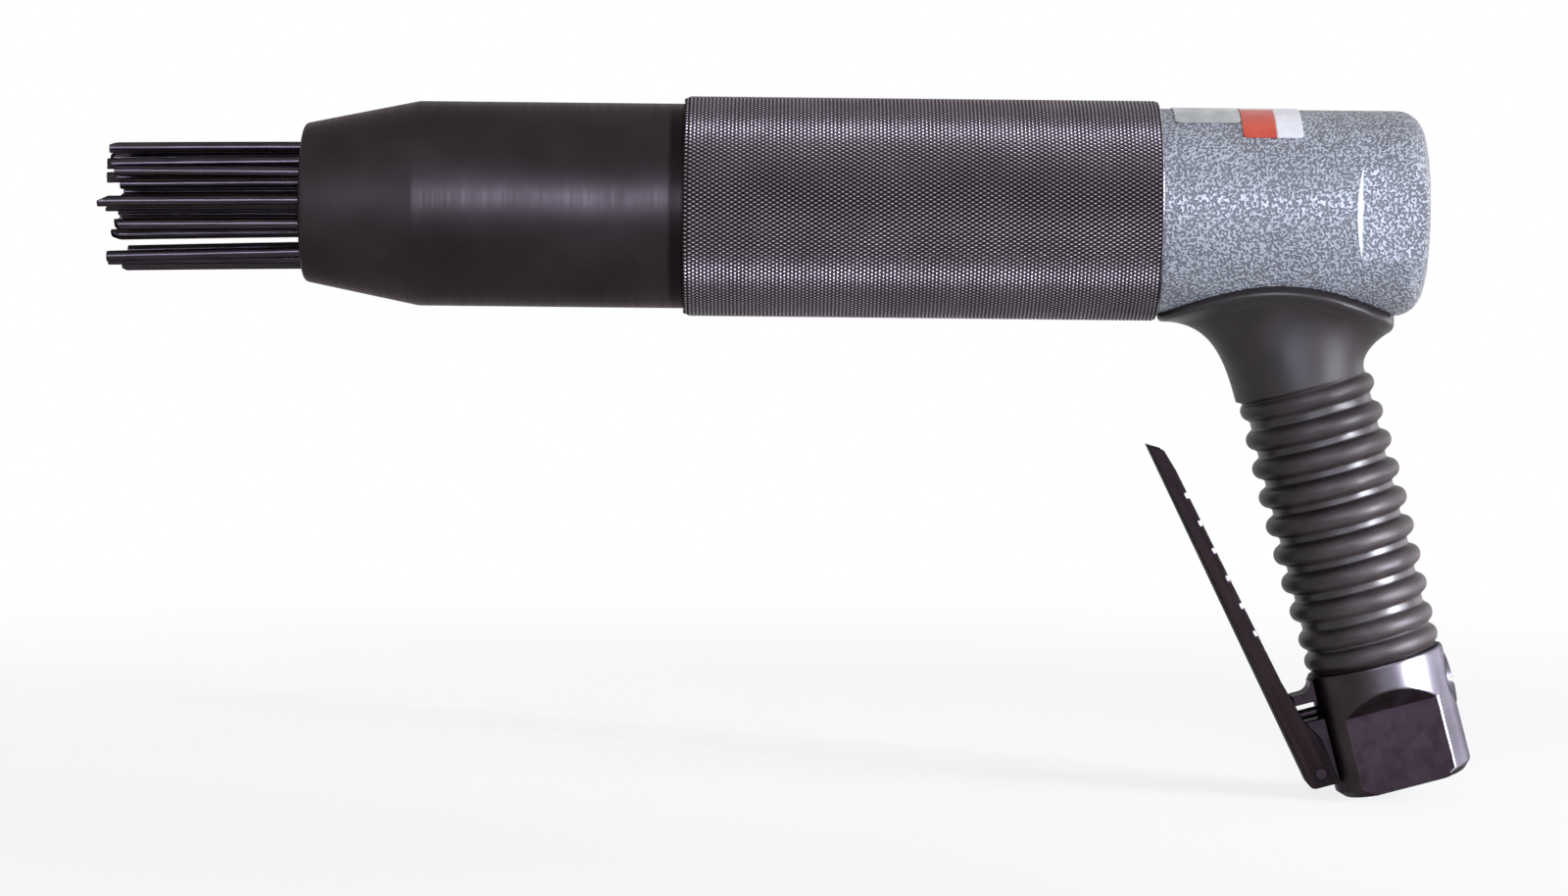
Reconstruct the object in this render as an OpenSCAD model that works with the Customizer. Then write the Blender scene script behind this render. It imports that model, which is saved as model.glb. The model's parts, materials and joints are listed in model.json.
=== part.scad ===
// Air-driven needle scaler with a pistol grip.
// The barrel lies along X with the needles toward -X, the handle hangs toward -Z and leans back,
// and the part is symmetric about Y = 0. The origin is the centre of the air inlet's mouth.

/* [Barrel] */
// Outer radius of the front tube and of the rear housing
barrel_r = 28.4; // [27:0.1:31]
// Length of front tube that shows ahead of the knurled sleeve
tube_visible_len = 105.8; // [98:0.1:125]
// Length of front tube held inside the knurled sleeve
tube_seat_len = 22.4; // [20:0.1:25]
// Wall of the front tube behind its nose
tube_wall = 5.9; // [5:0.1:6.4]
// Length of the tapered nose
nose_taper_len = 32; // [22:0.5:40]
// Depth of the narrow nose bore, from the nose face to the spring's seat
nose_bore_len = 34; // [28:0.5:38]
// Width of the rim around the nose opening
nose_rim = 3.5; // [2.5:0.1:4.5]
// Rounding of the nose's outer edge
nose_edge_r = 1.8; // [0.6:0.1:2.2]

/* [Knurled sleeve] */
// Length of the knurled sleeve
sleeve_len = 131.3; // [124:0.1:145]
// How far the sleeve stands out from the barrel
sleeve_step = 2.2; // [1.6:0.1:3.6]
// Rounding of the sleeve's ends
sleeve_edge_r = 1.9; // [0.5:0.1:2.2]
// Length of the inner shoulder that clamps the cylinder
sleeve_shoulder_len = 5.8; // [4:0.1:8]

/* [Housing] */
// Length of the housing behind the sleeve
housing_len = 73; // [68:0.5:85]
// Wall of the housing around the cylinder
housing_wall = 4.4; // [3.6:0.1:5]
// Rounding of the housing's rear edge
housing_edge_r = 7; // [4:0.5:9]
// Thickness of the housing's rear wall
rear_wall = 10; // [9:0.5:14]
// Length of the threaded spigot inside the sleeve
spigot_len = 18; // [14:0.5:22]
// Wall of the threaded spigot
spigot_wall = 2.6; // [2.2:0.1:3.2]
// Depth of the bore that holds the cylinder and its valve, from the sleeve's end
valve_bore_len = 27; // [26:0.5:32]
// Step from the cylinder's bore down to the air chamber
chamber_step = 4; // [3:0.1:6]
// Depth of the two side flats at the rear
side_flat_depth = 3; // [1:0.1:3.5]
// Length of the two side flats
side_flat_len = 19; // [14:0.5:24]
// Length of the sloped end of each side flat
side_flat_runout = 1.8; // [0.5:0.1:3]

/* [Handle] */
// Lean of the handle from the barrel's perpendicular, in degrees
handle_tilt = 15.2; // [10:0.1:18]
// Distance along the handle from the barrel's axis to the inlet mouth
handle_len = 164.2; // [162:0.1:185]
// Distance from the sleeve's end back to the handle's axis
handle_set = 28.5; // [26:0.5:32]
// Radius of the handle's cast core
core_r = 13.5; // [13:0.1:14.5]
// Radius of the air passage in the core
core_bore_r = 7; // [6.5:0.1:8]

/* [Rubber grip] */
// Rubber thickness between the ribs
grip_wall = 3.7; // [3:0.1:4.5]
// Number of full ribs
rib_count = 9; // [6:1:9]
// Distance between ribs
rib_pitch = 8.26; // [6:0.02:8.4]
// Radius of a rib's round section
rib_r = 2.9; // [1.5:0.05:3.1]
// How much the middle ribs stand out beyond the end ribs
rib_bulge = 1; // [0:0.1:1.2]
// Height of the lowest full rib above the inlet body
rib_first = 9.6; // [9:0.1:11]
// How far the neck stands out from the rubber between the ribs
neck_step = 1.2; // [0.2:0.1:1.6]
// Reach of the saddle behind the handle's axis
saddle_rear = 37.7; // [34:0.1:39]
// Half width of the saddle across the housing
saddle_side = 20; // [17:0.1:22]
// Mean thickness of the saddle's lip
saddle_lip = 3.1; // [2:0.1:3.8]

/* [Inlet body] */
// Radius of the inlet valve body
inlet_body_r = 19.3; // [18.8:0.1:21]
// Height of the inlet valve body
inlet_body_len = 35.5; // [35:0.1:39]
// Width across the two wrench flats
inlet_flat_across = 28; // [23:0.1:30]
// Height of the wrench flats
inlet_flat_len = 22.7; // [18:0.1:25]
// Bevel at the foot of the inlet body
inlet_bevel = 2.2; // [1:0.1:4]
// Radius of the inlet's thread wall
inlet_r = 7.475; // [7:0.005:8]
// Depth of the inlet thread
inlet_depth = 13; // [11:0.1:13.5]

/* [Throttle] */
// Length of the lever
lever_len = 107.2; // [90:0.1:112]
// Width of the lever
lever_width = 14; // [13:0.1:16]
// Thickness of the lever's sheet
lever_sheet = 1.5; // [1.2:0.1:1.7]
// Angle between the released lever and the handle, in degrees
lever_angle = 10.9; // [10:0.1:14]
// Depth of the lever's flanges at the tip
flange_tip_depth = 4; // [3:0.1:4.6]
// Depth of the lever's flanges above the ears
flange_root_depth = 5.3; // [4.4:0.1:5.8]
// Distance of the pivot from the handle's axis
pivot_out = 22.7; // [21.1:0.1:23]
// Height of the pivot above the inlet mouth
pivot_up = 8.7; // [7.5:0.1:9.5]
// Distance from the lever's front face back to the pivot
pivot_inset = 4.4; // [4.2:0.1:4.6]
// Radius of the lever pin
pin_r = 1.6; // [1.2:0.05:1.8]
// Height of the valve's axis above the inlet mouth
valve_up = 25.2; // [24.8:0.1:26]
// Radius of the valve's stem
stem_r = 1.5; // [1.2:0.05:1.7]

/* [Percussion] */
// Radius of the piston
piston_r = 14; // [12.5:0.1:14.5]
// Length of the piston
piston_len = 48; // [36:0.5:50]
// Wall of the cylinder
cylinder_wall = 6; // [4:0.1:7]
// Length of the anvil's bush
bush_len = 18; // [14:0.5:22]
// Radius of the anvil's stem
anvil_stem_r = 9; // [7.5:0.1:10]
// How far the anvil's stem reaches into the cylinder
anvil_stem_out = 8; // [8:0.1:10]
// Thickness of the anvil's head
anvil_head_len = 6.8; // [5:0.1:8]
// Thickness of the needle holder
holder_len = 12.5; // [9:0.1:14]
// Room for a needle to float between the holder and the anvil
needle_float = 2.5; // [2.2:0.1:3.5]
// Length of the valve block
valve_block_len = 12; // [10:0.1:12.5]
// Length of the valve cover
valve_cover_len = 10; // [8:0.1:11]

/* [Needles] */
// Radius of a needle
needle_r = 1.5; // [1:0.05:1.6]
// Reach of the longest needle ahead of the nose
needle_out = 55.4; // [40:0.1:65]
// Spread of the needles' worn lengths
needle_wear = 5; // [0:0.1:8]
// Room between the needle bundle and the front tube's bore, where the return spring lies
spring_room = 5; // [4.4:0.1:5.6]
// Number of needles in the inner ring
inner_needles = 7; // [5:1:7]
// Number of needles in the outer ring
outer_needles = 15; // [10:1:15]
// Wire diameter of the needle return spring
return_wire = 2.6; // [1.8:0.1:3]
// Turns of the needle return spring
return_turns = 8; // [6:1:9]

/* [Fits] */
// Running clearance of sliding and turning pieces
slide_gap = 0.05; // [0.02:0.01:0.1]
// Clearance of screwed and seated pieces
seat_gap = 0.05; // [0.02:0.01:0.1]
// Clearance of pieces that pass each other freely
free_gap = 0.3; // [0.2:0.05:0.4]

/* [Hidden] */
$fn = 96;
// Extra length of every cut past the face that it opens
overrun = 1;

// Places along the barrel, measured back from the nose face
sleeve_at = tube_visible_len;
tube_end_at = sleeve_at + tube_seat_len;
cylinder_at = tube_end_at + sleeve_shoulder_len;
housing_at = sleeve_at + sleeve_len;
spigot_at = housing_at - spigot_len;
chamber_at = housing_at + valve_bore_len;
cover_at = chamber_at - valve_cover_len;
block_at = cover_at - valve_block_len;
handle_at = housing_at + handle_set;
housing_end_at = housing_at + housing_len;
anvil_end_at = cylinder_at - free_gap;
anvil_at = anvil_end_at - anvil_head_len;
anvil_tip_at = cylinder_at + bush_len + anvil_stem_out;
holder_end_at = anvil_at - needle_float;
holder_at = holder_end_at - holder_len;
piston_at = anvil_tip_at + free_gap;

// Radii of the barrel
tube_bore_r = barrel_r - tube_wall;
housing_bore_r = barrel_r - housing_wall;
chamber_r = housing_bore_r - chamber_step;
spigot_r = housing_bore_r + spigot_wall;
sleeve_r = barrel_r + sleeve_step;
cylinder_bore_r = piston_r + slide_gap;
cylinder_r = cylinder_bore_r + cylinder_wall;
// Rings of needles, the inner one's radius as a share of the outer one's
inner_ring_share = 0.52;
bundle_r = tube_bore_r - spring_room;
outer_ring_r = bundle_r - needle_r;
inner_ring_r = inner_ring_share * outer_ring_r;
// Room between the needle bundle and the nose
bundle_gap = 0.9;
nose_bore_r = bundle_r + bundle_gap;
nose_r = nose_bore_r + nose_rim;

// Where the barrel's axis meets the handle's axis, and where the nose face is
cross_x = -handle_len * sin(handle_tilt);
cross_z = handle_len * cos(handle_tilt);
nose_x = cross_x - handle_at;

// Round seals: section radius and the room around each in its groove
seal_r = 0.8;
seal_room = 0.1;

// Handle core and the screwed joint with the inlet body
screw_r = 10;
screw_len = 18;
screw_wall = 3;
grip_r = core_r + grip_wall;
neck_r = grip_r + neck_step;
// Round collar at the grip's lower end
collar_r = 2.9;
collar_up = 3.4;
rib_top = inlet_body_len + rib_first + (rib_count - 1) * rib_pitch;
// Height of the neck above the top rib
neck_up = 3.6;
neck_h = rib_top + neck_up;

// Saddle outline on the housing, measured along the barrel from the handle's axis
saddle_front = handle_set - free_gap;
saddle_mid = (saddle_rear - saddle_front) / 2;
saddle_half = (saddle_rear + saddle_front) / 2;
// Mean strength of the flare's curve, and how much more it has at the front than on the sides
flare_pull = 9.2;
flare_lead = 4.9;
flare_sides = 40;
flare_rings = 8;
// How much thicker the lip is at the rear than on the sides, and its rise there as a share of its run
lip_lead = 0.8;
flare_rise_share = 0.6;
// How far the neck is set forward on the handle
neck_lead = 1.2;
// Depth to which the flare runs inside the housing before it is cut
flare_sink = 2;

// Inlet body: wrench flat's sloped end as rise per depth, strainer seat, and passages
flat_rise_share = 1.05;
top_bevel = 0.5;
strainer_r = 6.5;
strainer_len = 1.5;
strainer_hole_r = 0.6;
passage_r = 3;
passage_back = 3.4;
outlet_r = 2.2;
outlet_front = 4.6;
outlet_floor = 3;

// Front lug that carries the lever
lug_gap = 0.4;
lug_r = pivot_inset - lever_sheet - lug_gap;
lug_half = lever_width / 2 - lever_sheet - free_gap;
// Milled faces beside the lug, where the lever's ears swing
ear_r = 4.3;
ear_room = 0.6;
ear_face = pivot_out - ear_r - ear_room;
// Guard finger above the stem
finger_gap = 1.9;
finger_len = 2.8;
finger_fillet = 3;
lug_top = valve_up - stem_r - free_gap;
finger_up = valve_up + stem_r + finger_gap;

// Throttle valve, along its own axis: zero on the handle's axis, positive to the rear
plug_recess_r = 7.5;
plug_recess_at = 15;
plug_head_len = 3.7;
plug_inset_at = 9;
plug_slot = 1.6;
plug_slot_depth = 1;
washer_len = 0.6;
valve_bore_r = 5.95;
seat_len = 2.4;
seat_land_at = 0.3;
seat_bore_r = 2.8;
front_room_r = 4;
front_room_len = 6.2;
valve_washer_r = 4.4;
valve_washer_len = 1.3;
poppet_r = 4.6;
poppet_len = 1.8;
spring_pocket_r = 4.2;
spring_pocket_len = 4;
valve_wire = 0.9;
valve_turns = 5;
stem_seal_r = 0.5;
stem_seal_at = 15.6;

// Lever outline: the ears' level lower edge, the flanges' slanted tip, and where the flanges
// start to widen into the ears
ear_drop = 3.7;
lever_foot_r = 1.9;
tip_drop = 3;
tip_run = 9.4;
tip_depth_share = 0.84;
flange_root_up = 28;
ear_neck_up = 15.2;
ear_neck_depth = 6.4;
ear_up = 8.5;

// Cylinder, valve and piston
bush_flange = 2;
bush_flange_len = 3;
cylinder_flange_len = 8;
exhaust_r = 2.5;
exhaust_count = 4;
exhaust_at_share = 0.4;
piston_groove = 0.6;
piston_groove_len = 1.5;
port_r = 4;
valve_disc_r = 9;
valve_disc_len = 1.2;
valve_disc_lift = 0.7;
cover_port_r = 1.6;
cover_port_ring_r = 6;
cover_port_count = 6;

// Needles
needle_head_r = 2.4;
needle_head_len = 2.4;
needle_fit = 0.2;
needle_bevel = 38;
// Turn of each ring of needles about the barrel
inner_ring_turn = 14.3;
outer_ring_turn = 2;
// Number of the needle with the least wear
longest_needle = 18;
// Turn from one needle to the next of the bevel's direction and of the wear's pattern
bevel_step = 137.5;
wear_step = 143;
needle_count = 1 + inner_needles + outer_needles;

// Helix of a spring
ring_per_turn = 16;
wire_sides = 6;
// Least gap between the turns of a spring's closed ends
end_turn_gap = 0.5;

// Blank plate and label on top of the housing: start behind the sleeve, length, half angle
label_t = 0.3;
plate_from = 3.4;
plate_len = 18;
plate_half_angle = 32;
label_len = 16.5;
label_half_angle = 44.5;

function needle_name(i) = str("needle_", i < 9 ? "0" : "", i + 1);

// Points of an arc from angle a to angle b in a number of steps
function arc(centre, r, a, b, steps = 8) =
    [for (k = [0 : steps]) centre + r * [cos(a + (b - a) * k / steps), sin(a + (b - a) * k / steps)]];

// Frame of the barrel: +Z runs back along the barrel from the nose face, and +X points down
module on_barrel() {
    translate([nose_x, 0, cross_z])
        rotate([0, 90, 0])
            children();
}

// Frame of the handle: +Z runs up the handle from the inlet mouth, and +X points back
module on_handle() {
    rotate([0, -handle_tilt, 0])
        children();
}

// Frame of the throttle valve: +Z runs back along the valve's axis, and +X points down the handle
module on_valve() {
    on_handle()
        translate([0, 0, valve_up])
            rotate([0, 90, 0])
                children();
}

// Frame of the lever: +Z runs up the lever from its pivot, and +X points back
module on_lever() {
    on_handle()
        translate([-pivot_out, 0, pivot_up])
            rotate([0, -lever_angle, 0])
                children();
}

module rod(r, from, to) {
    translate([0, 0, from])
        cylinder(r = r, h = to - from);
}

module pipe(r, bore, from, to) {
    difference() {
        rod(r, from, to);
        rod(bore, from - overrun, to + overrun);
    }
}

// Round seal with its outer side at radius r
module outer_seal(r, at) {
    rotate_extrude()
        translate([r - seal_r, at])
            circle(r = seal_r);
}

// Groove in a shaft of radius r for the seal above
module outer_groove(r, at) {
    pipe(r + overrun, r - 2 * seal_r - seat_gap, at - seal_r - seal_room, at + seal_r + seal_room);
}

// Side profile in X and Z, extruded across Y
module across(width) {
    rotate([90, 0, 0])
        linear_extrude(height = width, center = true)
            children();
}

// Triangles that join rings of points, each with the same number of sides
function wall_faces(rings, sides) =
    [for (k = [0 : rings - 2], s = [0 : sides - 1], half = [0, 1])
        let (t = (s + 1) % sides, low = k * sides, high = low + sides)
        half == 0 ? [low + s, low + t, high + t] : [low + s, high + t, high + s]];

// Height along a spring of so many turns: closed ends and an even pitch between them
function coil_height(turn, turns, len, wire) =
    let (end = wire + end_turn_gap, pitch = (len - wire - 2 * end) / (turns - 2))
    wire / 2 + (turn < 1 ? turn * end
        : turn > turns - 1 ? end + (turns - 2) * pitch + (turn - turns + 1) * end
        : end + (turn - 1) * pitch);

function coil_point(k, turns, len, wire, r) =
    let (turn = k / ring_per_turn)
    [r * cos(360 * turn), r * sin(360 * turn), coil_height(turn, turns, len, wire)];

// Least gap between neighbouring turns of a spring
function coil_gap(turns, len, wire, r) =
    min([for (k = [0 : (turns - 1) * ring_per_turn])
        norm(coil_point(k + ring_per_turn, turns, len, wire, r) - coil_point(k, turns, len, wire, r)) - wire]);

module coil_spring(turns, len, wire, r) {
    rings = turns * ring_per_turn + 1;
    points = [for (k = [0 : rings - 1], s = [0 : wire_sides - 1])
        let (
            middle = coil_point(k, turns, len, wire, r),
            turn = 360 * k / ring_per_turn,
            side = 360 * s / wire_sides
        )
        middle + wire / 2 * [cos(side) * cos(turn), cos(side) * sin(turn), sin(side)]];
    last = (rings - 1) * wire_sides;
    caps = [for (s = [1 : wire_sides - 2], end = [0, 1])
        end == 0 ? [0, s + 1, s] : [last, last + s, last + s + 1]];
    walls = [for (f = wall_faces(rings, wire_sides)) [f[0], f[2], f[1]]];
    polyhedron(points = points, faces = concat(walls, [for (f = caps) [f[0], f[2], f[1]]]));
    echo(least_spring_gap = coil_gap(turns, len, wire, r));
}

// Cast housing with the handle's core
module housing_outline() {
    edge = min(housing_edge_r, rear_wall);
    polygon(concat(
        [
            [0, spigot_at], [spigot_r, spigot_at], [spigot_r, housing_at],
            [barrel_r, housing_at]
        ],
        arc([barrel_r - edge, housing_end_at - edge], edge, 0, 90),
        [[0, housing_end_at]]
    ));
}

module side_flat() {
    face = barrel_r - side_flat_depth;
    from = housing_end_at - side_flat_len;
    rotate([90, 0, 90])
        linear_extrude(height = 2 * barrel_r, center = true)
            polygon([
                [face, from], [face, housing_end_at + overrun],
                [barrel_r + overrun, housing_end_at + overrun],
                [barrel_r + overrun, from - side_flat_runout * (1 + overrun / side_flat_depth)]
            ]);
}

module housing() {
    color("slategray")
        difference() {
            union() {
                on_barrel() rotate_extrude() housing_outline();
                on_handle() rod(core_r, inlet_body_len, handle_len);
            }
            on_barrel() {
                rod(housing_bore_r, spigot_at - overrun, chamber_at);
                rod(chamber_r, spigot_at, housing_end_at - rear_wall);
                outer_groove(spigot_r, housing_at - spigot_len / 4);
                side_flat();
                mirror([0, 1, 0]) side_flat();
            }
            on_handle() {
                rod(core_bore_r, inlet_body_len - overrun, handle_len);
                rod(screw_r + seat_gap, inlet_body_len - overrun, inlet_body_len + screw_len + seat_gap);
            }
        }
}

// Sleeve that screws the front tube to the housing; its knurl is left to its surface
module lock_sleeve() {
    edge = min(sleeve_edge_r, sleeve_step);
    color("dimgray")
        on_barrel()
            rotate_extrude()
                polygon(concat(
                    [
                        [barrel_r + seat_gap, sleeve_at],
                        [sleeve_r - edge, sleeve_at]
                    ],
                    arc([sleeve_r - edge, sleeve_at + edge], edge, -90, 0),
                    arc([sleeve_r - edge, housing_at - edge], edge, 0, 90),
                    [
                        [spigot_r + seat_gap, housing_at],
                        [spigot_r + seat_gap, cylinder_at],
                        [tube_bore_r, cylinder_at],
                        [tube_bore_r, tube_end_at],
                        [barrel_r + seat_gap, tube_end_at]
                    ]
                ));
}

module front_tube() {
    color("darkslategray")
        on_barrel()
            rotate_extrude()
                polygon(concat(
                    [[nose_bore_r, 0]],
                    arc([nose_r - nose_edge_r, nose_edge_r], nose_edge_r, -90, 0),
                    [
                        [barrel_r, nose_taper_len],
                        [barrel_r, tube_end_at],
                        [tube_bore_r, tube_end_at],
                        [tube_bore_r, nose_bore_len],
                        [nose_bore_r, nose_bore_len]
                    ]
                ));
}

// Rubber grip: ribbed sleeve and the flare that saddles the housing
function saddle_point(turn, r) =
    let (lean = asin(saddle_side * sin(turn) / barrel_r))
    [cross_x + saddle_mid + saddle_half * cos(turn), r * sin(lean), cross_z - r * cos(lean)];

function saddle_tangent(turn) =
    let (lean = asin(saddle_side * sin(turn) / barrel_r))
    [
        cos(turn), sin(turn) * cos(lean),
        abs(sin(turn) * sin(lean)) + flare_rise_share * pow(max(0, cos(turn)), 2)
    ];

function handle_up() = [-sin(handle_tilt), 0, cos(handle_tilt)];

function neck_point(turn) =
    neck_h * handle_up()
    + neck_r * sin(turn) * [0, 1, 0]
    + (neck_r * cos(turn) - neck_lead) * [cos(handle_tilt), 0, sin(handle_tilt)];

function flare_point(turn, t) =
    let (
        pull = flare_pull - flare_lead * cos(turn),
        a = neck_point(turn),
        d = saddle_point(turn, barrel_r + saddle_lip + lip_lead * cos(turn)),
        b = a + pull * handle_up(),
        c = d - pull * saddle_tangent(turn)
    )
    pow(1 - t, 3) * a + 3 * pow(1 - t, 2) * t * b + 3 * (1 - t) * t * t * c + pow(t, 3) * d;

module flare() {
    turns = [for (s = [0 : flare_sides - 1]) 360 * s / flare_sides];
    points = concat(
        [for (k = [0 : flare_rings], turn = turns) flare_point(turn, k / flare_rings)],
        [for (turn = turns) saddle_point(turn, barrel_r - flare_sink)],
        [neck_h * handle_up(), [cross_x + saddle_mid, 0, cross_z - barrel_r + 2 * flare_sink]]
    );
    rings = flare_rings + 2;
    low = rings * flare_sides;
    top = low - flare_sides;
    caps = [for (s = [0 : flare_sides - 1], end = [0, 1])
        let (t = (s + 1) % flare_sides)
        end == 0 ? [low, t, s] : [low + 1, top + s, top + t]];
    walls = wall_faces(rings, flare_sides);
    polyhedron(points = points, faces = [for (f = concat(walls, caps)) [f[0], f[2], f[1]]]);
}

module rib(r, section, h) {
    translate([0, 0, h])
        rotate_extrude()
            translate([r - section, 0])
                circle(r = section);
}

module grip_sleeve() {
    middle = (rib_count - 1) / 2;
    color("darkslategray")
        difference() {
            union() {
                on_handle() {
                    rod(grip_r, inlet_body_len + seat_gap, neck_h);
                    rib(inlet_body_r - free_gap, collar_r, inlet_body_len + collar_up);
                    for (i = [0 : rib_count - 1])
                        rib(
                            grip_r + rib_r - rib_bulge * pow((i - middle) / middle, 2), rib_r,
                            inlet_body_len + rib_first + i * rib_pitch
                        );
                }
                flare();
            }
            on_handle() rod(core_r + seat_gap, inlet_body_len - overrun, handle_len);
            on_barrel() rod(barrel_r + seat_gap, spigot_at, housing_end_at + overrun);
        }
}

// Inlet valve body
module inlet_body_outline() {
    polygon([
        [0, 0], [inlet_body_r - inlet_bevel, 0], [inlet_body_r, inlet_bevel],
        [inlet_body_r, inlet_body_len - top_bevel], [inlet_body_r - top_bevel, inlet_body_len],
        [screw_r, inlet_body_len], [screw_r, inlet_body_len + screw_len], [0, inlet_body_len + screw_len]
    ]);
}

module wrench_flat() {
    face = inlet_flat_across / 2;
    out = inlet_body_r + overrun;
    rotate([90, 0, 90])
        linear_extrude(height = 2 * inlet_body_r, center = true)
            polygon([
                [face, -overrun], [face, inlet_flat_len],
                [out, inlet_flat_len + flat_rise_share * (out - face)], [out, -overrun]
            ]);
}

module ear_pocket() {
    translate([-pivot_out - ear_r, lug_half, -overrun])
        cube([pivot_out + ear_r - ear_face, inlet_body_r, lug_top + overrun]);
}

module lug() {
    front = pivot_out + lug_r;
    root = inlet_body_r - inlet_bevel;
    fillet_top = finger_up + finger_len + finger_fillet;
    across(2 * lug_half) {
        polygon(concat(
            [[-root, pivot_up - lug_r]],
            [[-root, lug_top], [-front, lug_top], [-front, pivot_up]],
            arc([-pivot_out, pivot_up], lug_r, 180, 270)
        ));
        polygon(concat(
            [[-root, finger_up], [-root, fillet_top]],
            arc([-inlet_body_r - finger_fillet, fillet_top], finger_fillet, 0, -90),
            [[-front, finger_up + finger_len], [-front, finger_up]]
        ));
    }
}

module valve_cuts() {
    rod(valve_bore_r, seat_land_at - seat_len, plug_recess_at + overrun);
    rod(plug_recess_r, plug_recess_at, inlet_body_r + overrun);
    rod(front_room_r, seat_land_at - seat_len - front_room_len, 0);
    rod(stem_r + slide_gap, -pivot_out - lug_r, 0);
    rod(
        stem_r + slide_gap + 2 * stem_seal_r + seat_gap,
        -stem_seal_at - stem_seal_r - seal_room, -stem_seal_at + stem_seal_r + seal_room
    );
}

module inlet_body() {
    strainer_top = inlet_depth + strainer_len + seat_gap;
    color("dimgray")
        difference() {
            union() {
                on_handle()
                    difference() {
                        rotate_extrude() inlet_body_outline();
                        wrench_flat();
                        mirror([0, 1, 0]) wrench_flat();
                        ear_pocket();
                        mirror([0, 1, 0]) ear_pocket();
                    }
                on_handle() lug();
            }
            on_handle() {
                rod(inlet_r, -overrun, inlet_depth);
                rod(strainer_r + seat_gap, 0, strainer_top);
                translate([passage_back, 0, 0])
                    rod(passage_r, 0, valve_up);
                translate([-outlet_front, 0, 0])
                    rod(outlet_r, valve_up, inlet_body_len + overrun);
                rod(core_bore_r, inlet_body_len - outlet_floor, inlet_body_len + screw_len + overrun);
                outer_groove(screw_r, inlet_body_len + screw_len / 2);
                translate([-pivot_out, 0, pivot_up])
                    rotate([90, 0, 0])
                        cylinder(r = pin_r + seat_gap, h = 2 * lug_half + 2 * overrun, center = true);
            }
            on_valve() valve_cuts();
        }
}

// Pressed lever: a channel with its open side to the grip and two ears on the pin
// Point of the lever's frame that lies so far back and up from the pivot on the released lever
function level(back, up) = [
    back * cos(lever_angle) + up * sin(lever_angle),
    up * cos(lever_angle) - back * sin(lever_angle)
];

module lever_outline() {
    front = -pivot_inset;
    tip = lever_len - ear_drop;
    heel = level(ear_r, -ear_drop);
    toe_x = front + lever_foot_r;
    toe_z = heel[1] + (lever_foot_r - sin(lever_angle) * (toe_x - heel[0])) / cos(lever_angle);
    polygon(concat(
        [[front, tip]],
        [
            [front + tip_depth_share * flange_tip_depth, tip - tip_drop],
            [front + flange_tip_depth, tip - tip_run],
            [front + flange_root_depth, flange_root_up],
            [front + ear_neck_depth, ear_neck_up],
            [ear_r, ear_up],
            heel
        ],
        arc([toe_x, toe_z], lever_foot_r, -90 - lever_angle, -180, 4)
    ));
}

module throttle_lever() {
    inner = lever_width - 2 * lever_sheet;
    color("gray")
        on_lever()
            difference() {
                across(lever_width) lever_outline();
                translate([lever_sheet - pivot_inset, -inner / 2, -2 * ear_drop])
                    cube([pivot_inset + ear_r, inner, lever_len + 2 * ear_drop]);
                rotate([90, 0, 0])
                    cylinder(r = pin_r + slide_gap, h = lever_width + 2 * overrun, center = true);
            }
}

module lever_pin() {
    color("silver")
        on_lever()
            rotate([90, 0, 0])
                cylinder(r = pin_r, h = lever_width, center = true);
}

// Throttle valve
module valve_plug() {
    head_at = plug_recess_at + washer_len;
    color("darkslategray")
        on_valve()
            difference() {
                union() {
                    rod(valve_bore_r - seat_gap, plug_inset_at, head_at + overrun);
                    rod(plug_recess_r - seat_gap, head_at, head_at + plug_head_len);
                }
                rod(spring_pocket_r, plug_inset_at - overrun, plug_inset_at + spring_pocket_len);
                translate([-plug_slot / 2, -plug_recess_r, head_at + plug_head_len - plug_slot_depth])
                    cube([plug_slot, 2 * plug_recess_r, plug_slot_depth + overrun]);
            }
}

module plug_seal() {
    color("black")
        on_valve()
            pipe(plug_recess_r - seat_gap, valve_bore_r, plug_recess_at, plug_recess_at + washer_len);
}

module valve_seat() {
    color("goldenrod")
        on_valve()
            pipe(valve_bore_r - seat_gap, seat_bore_r, seat_land_at - seat_len, seat_land_at);
}

module valve_washer() {
    color("black")
        on_valve()
            pipe(valve_washer_r, stem_r + seat_gap, seat_land_at, seat_land_at + valve_washer_len);
}

// Place of the stem's tip: just short of the released lever's web
function stem_reach() =
    pivot_out + (pivot_inset - lever_sheet) / cos(lever_angle)
    + (valve_up - pivot_up) * tan(lever_angle) - stem_r * tan(lever_angle) - free_gap;

module throttle_valve() {
    poppet_at = seat_land_at + valve_washer_len;
    color("silver")
        on_valve() {
            rod(poppet_r, poppet_at, poppet_at + poppet_len);
            rod(stem_r, -stem_reach(), poppet_at + overrun);
        }
}

module valve_spring() {
    from = seat_land_at + valve_washer_len + poppet_len;
    len = plug_inset_at + spring_pocket_len - from;
    color("silver")
        on_valve()
            translate([0, 0, from])
                coil_spring(valve_turns, len, valve_wire, spring_pocket_r - free_gap - valve_wire / 2);
}

module stem_seal() {
    color("black")
        on_valve()
            rotate_extrude()
                translate([stem_r + slide_gap + stem_seal_r, -stem_seal_at])
                    circle(r = stem_seal_r);
}

module inlet_strainer() {
    ring_steps = 3;
    color("goldenrod")
        on_handle()
            difference() {
                rod(strainer_r, inlet_depth, inlet_depth + strainer_len);
                for (k = [1 : ring_steps], s = [0 : 6 * k - 1])
                    rotate(60 * s / k)
                        translate([k * strainer_r / (ring_steps + 1), 0, 0])
                            rod(strainer_hole_r, inlet_depth - overrun, inlet_depth + strainer_len + overrun);
            }
}

module spigot_seal() {
    color("black")
        on_handle() outer_seal(screw_r, inlet_body_len + screw_len / 2);
}

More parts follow.
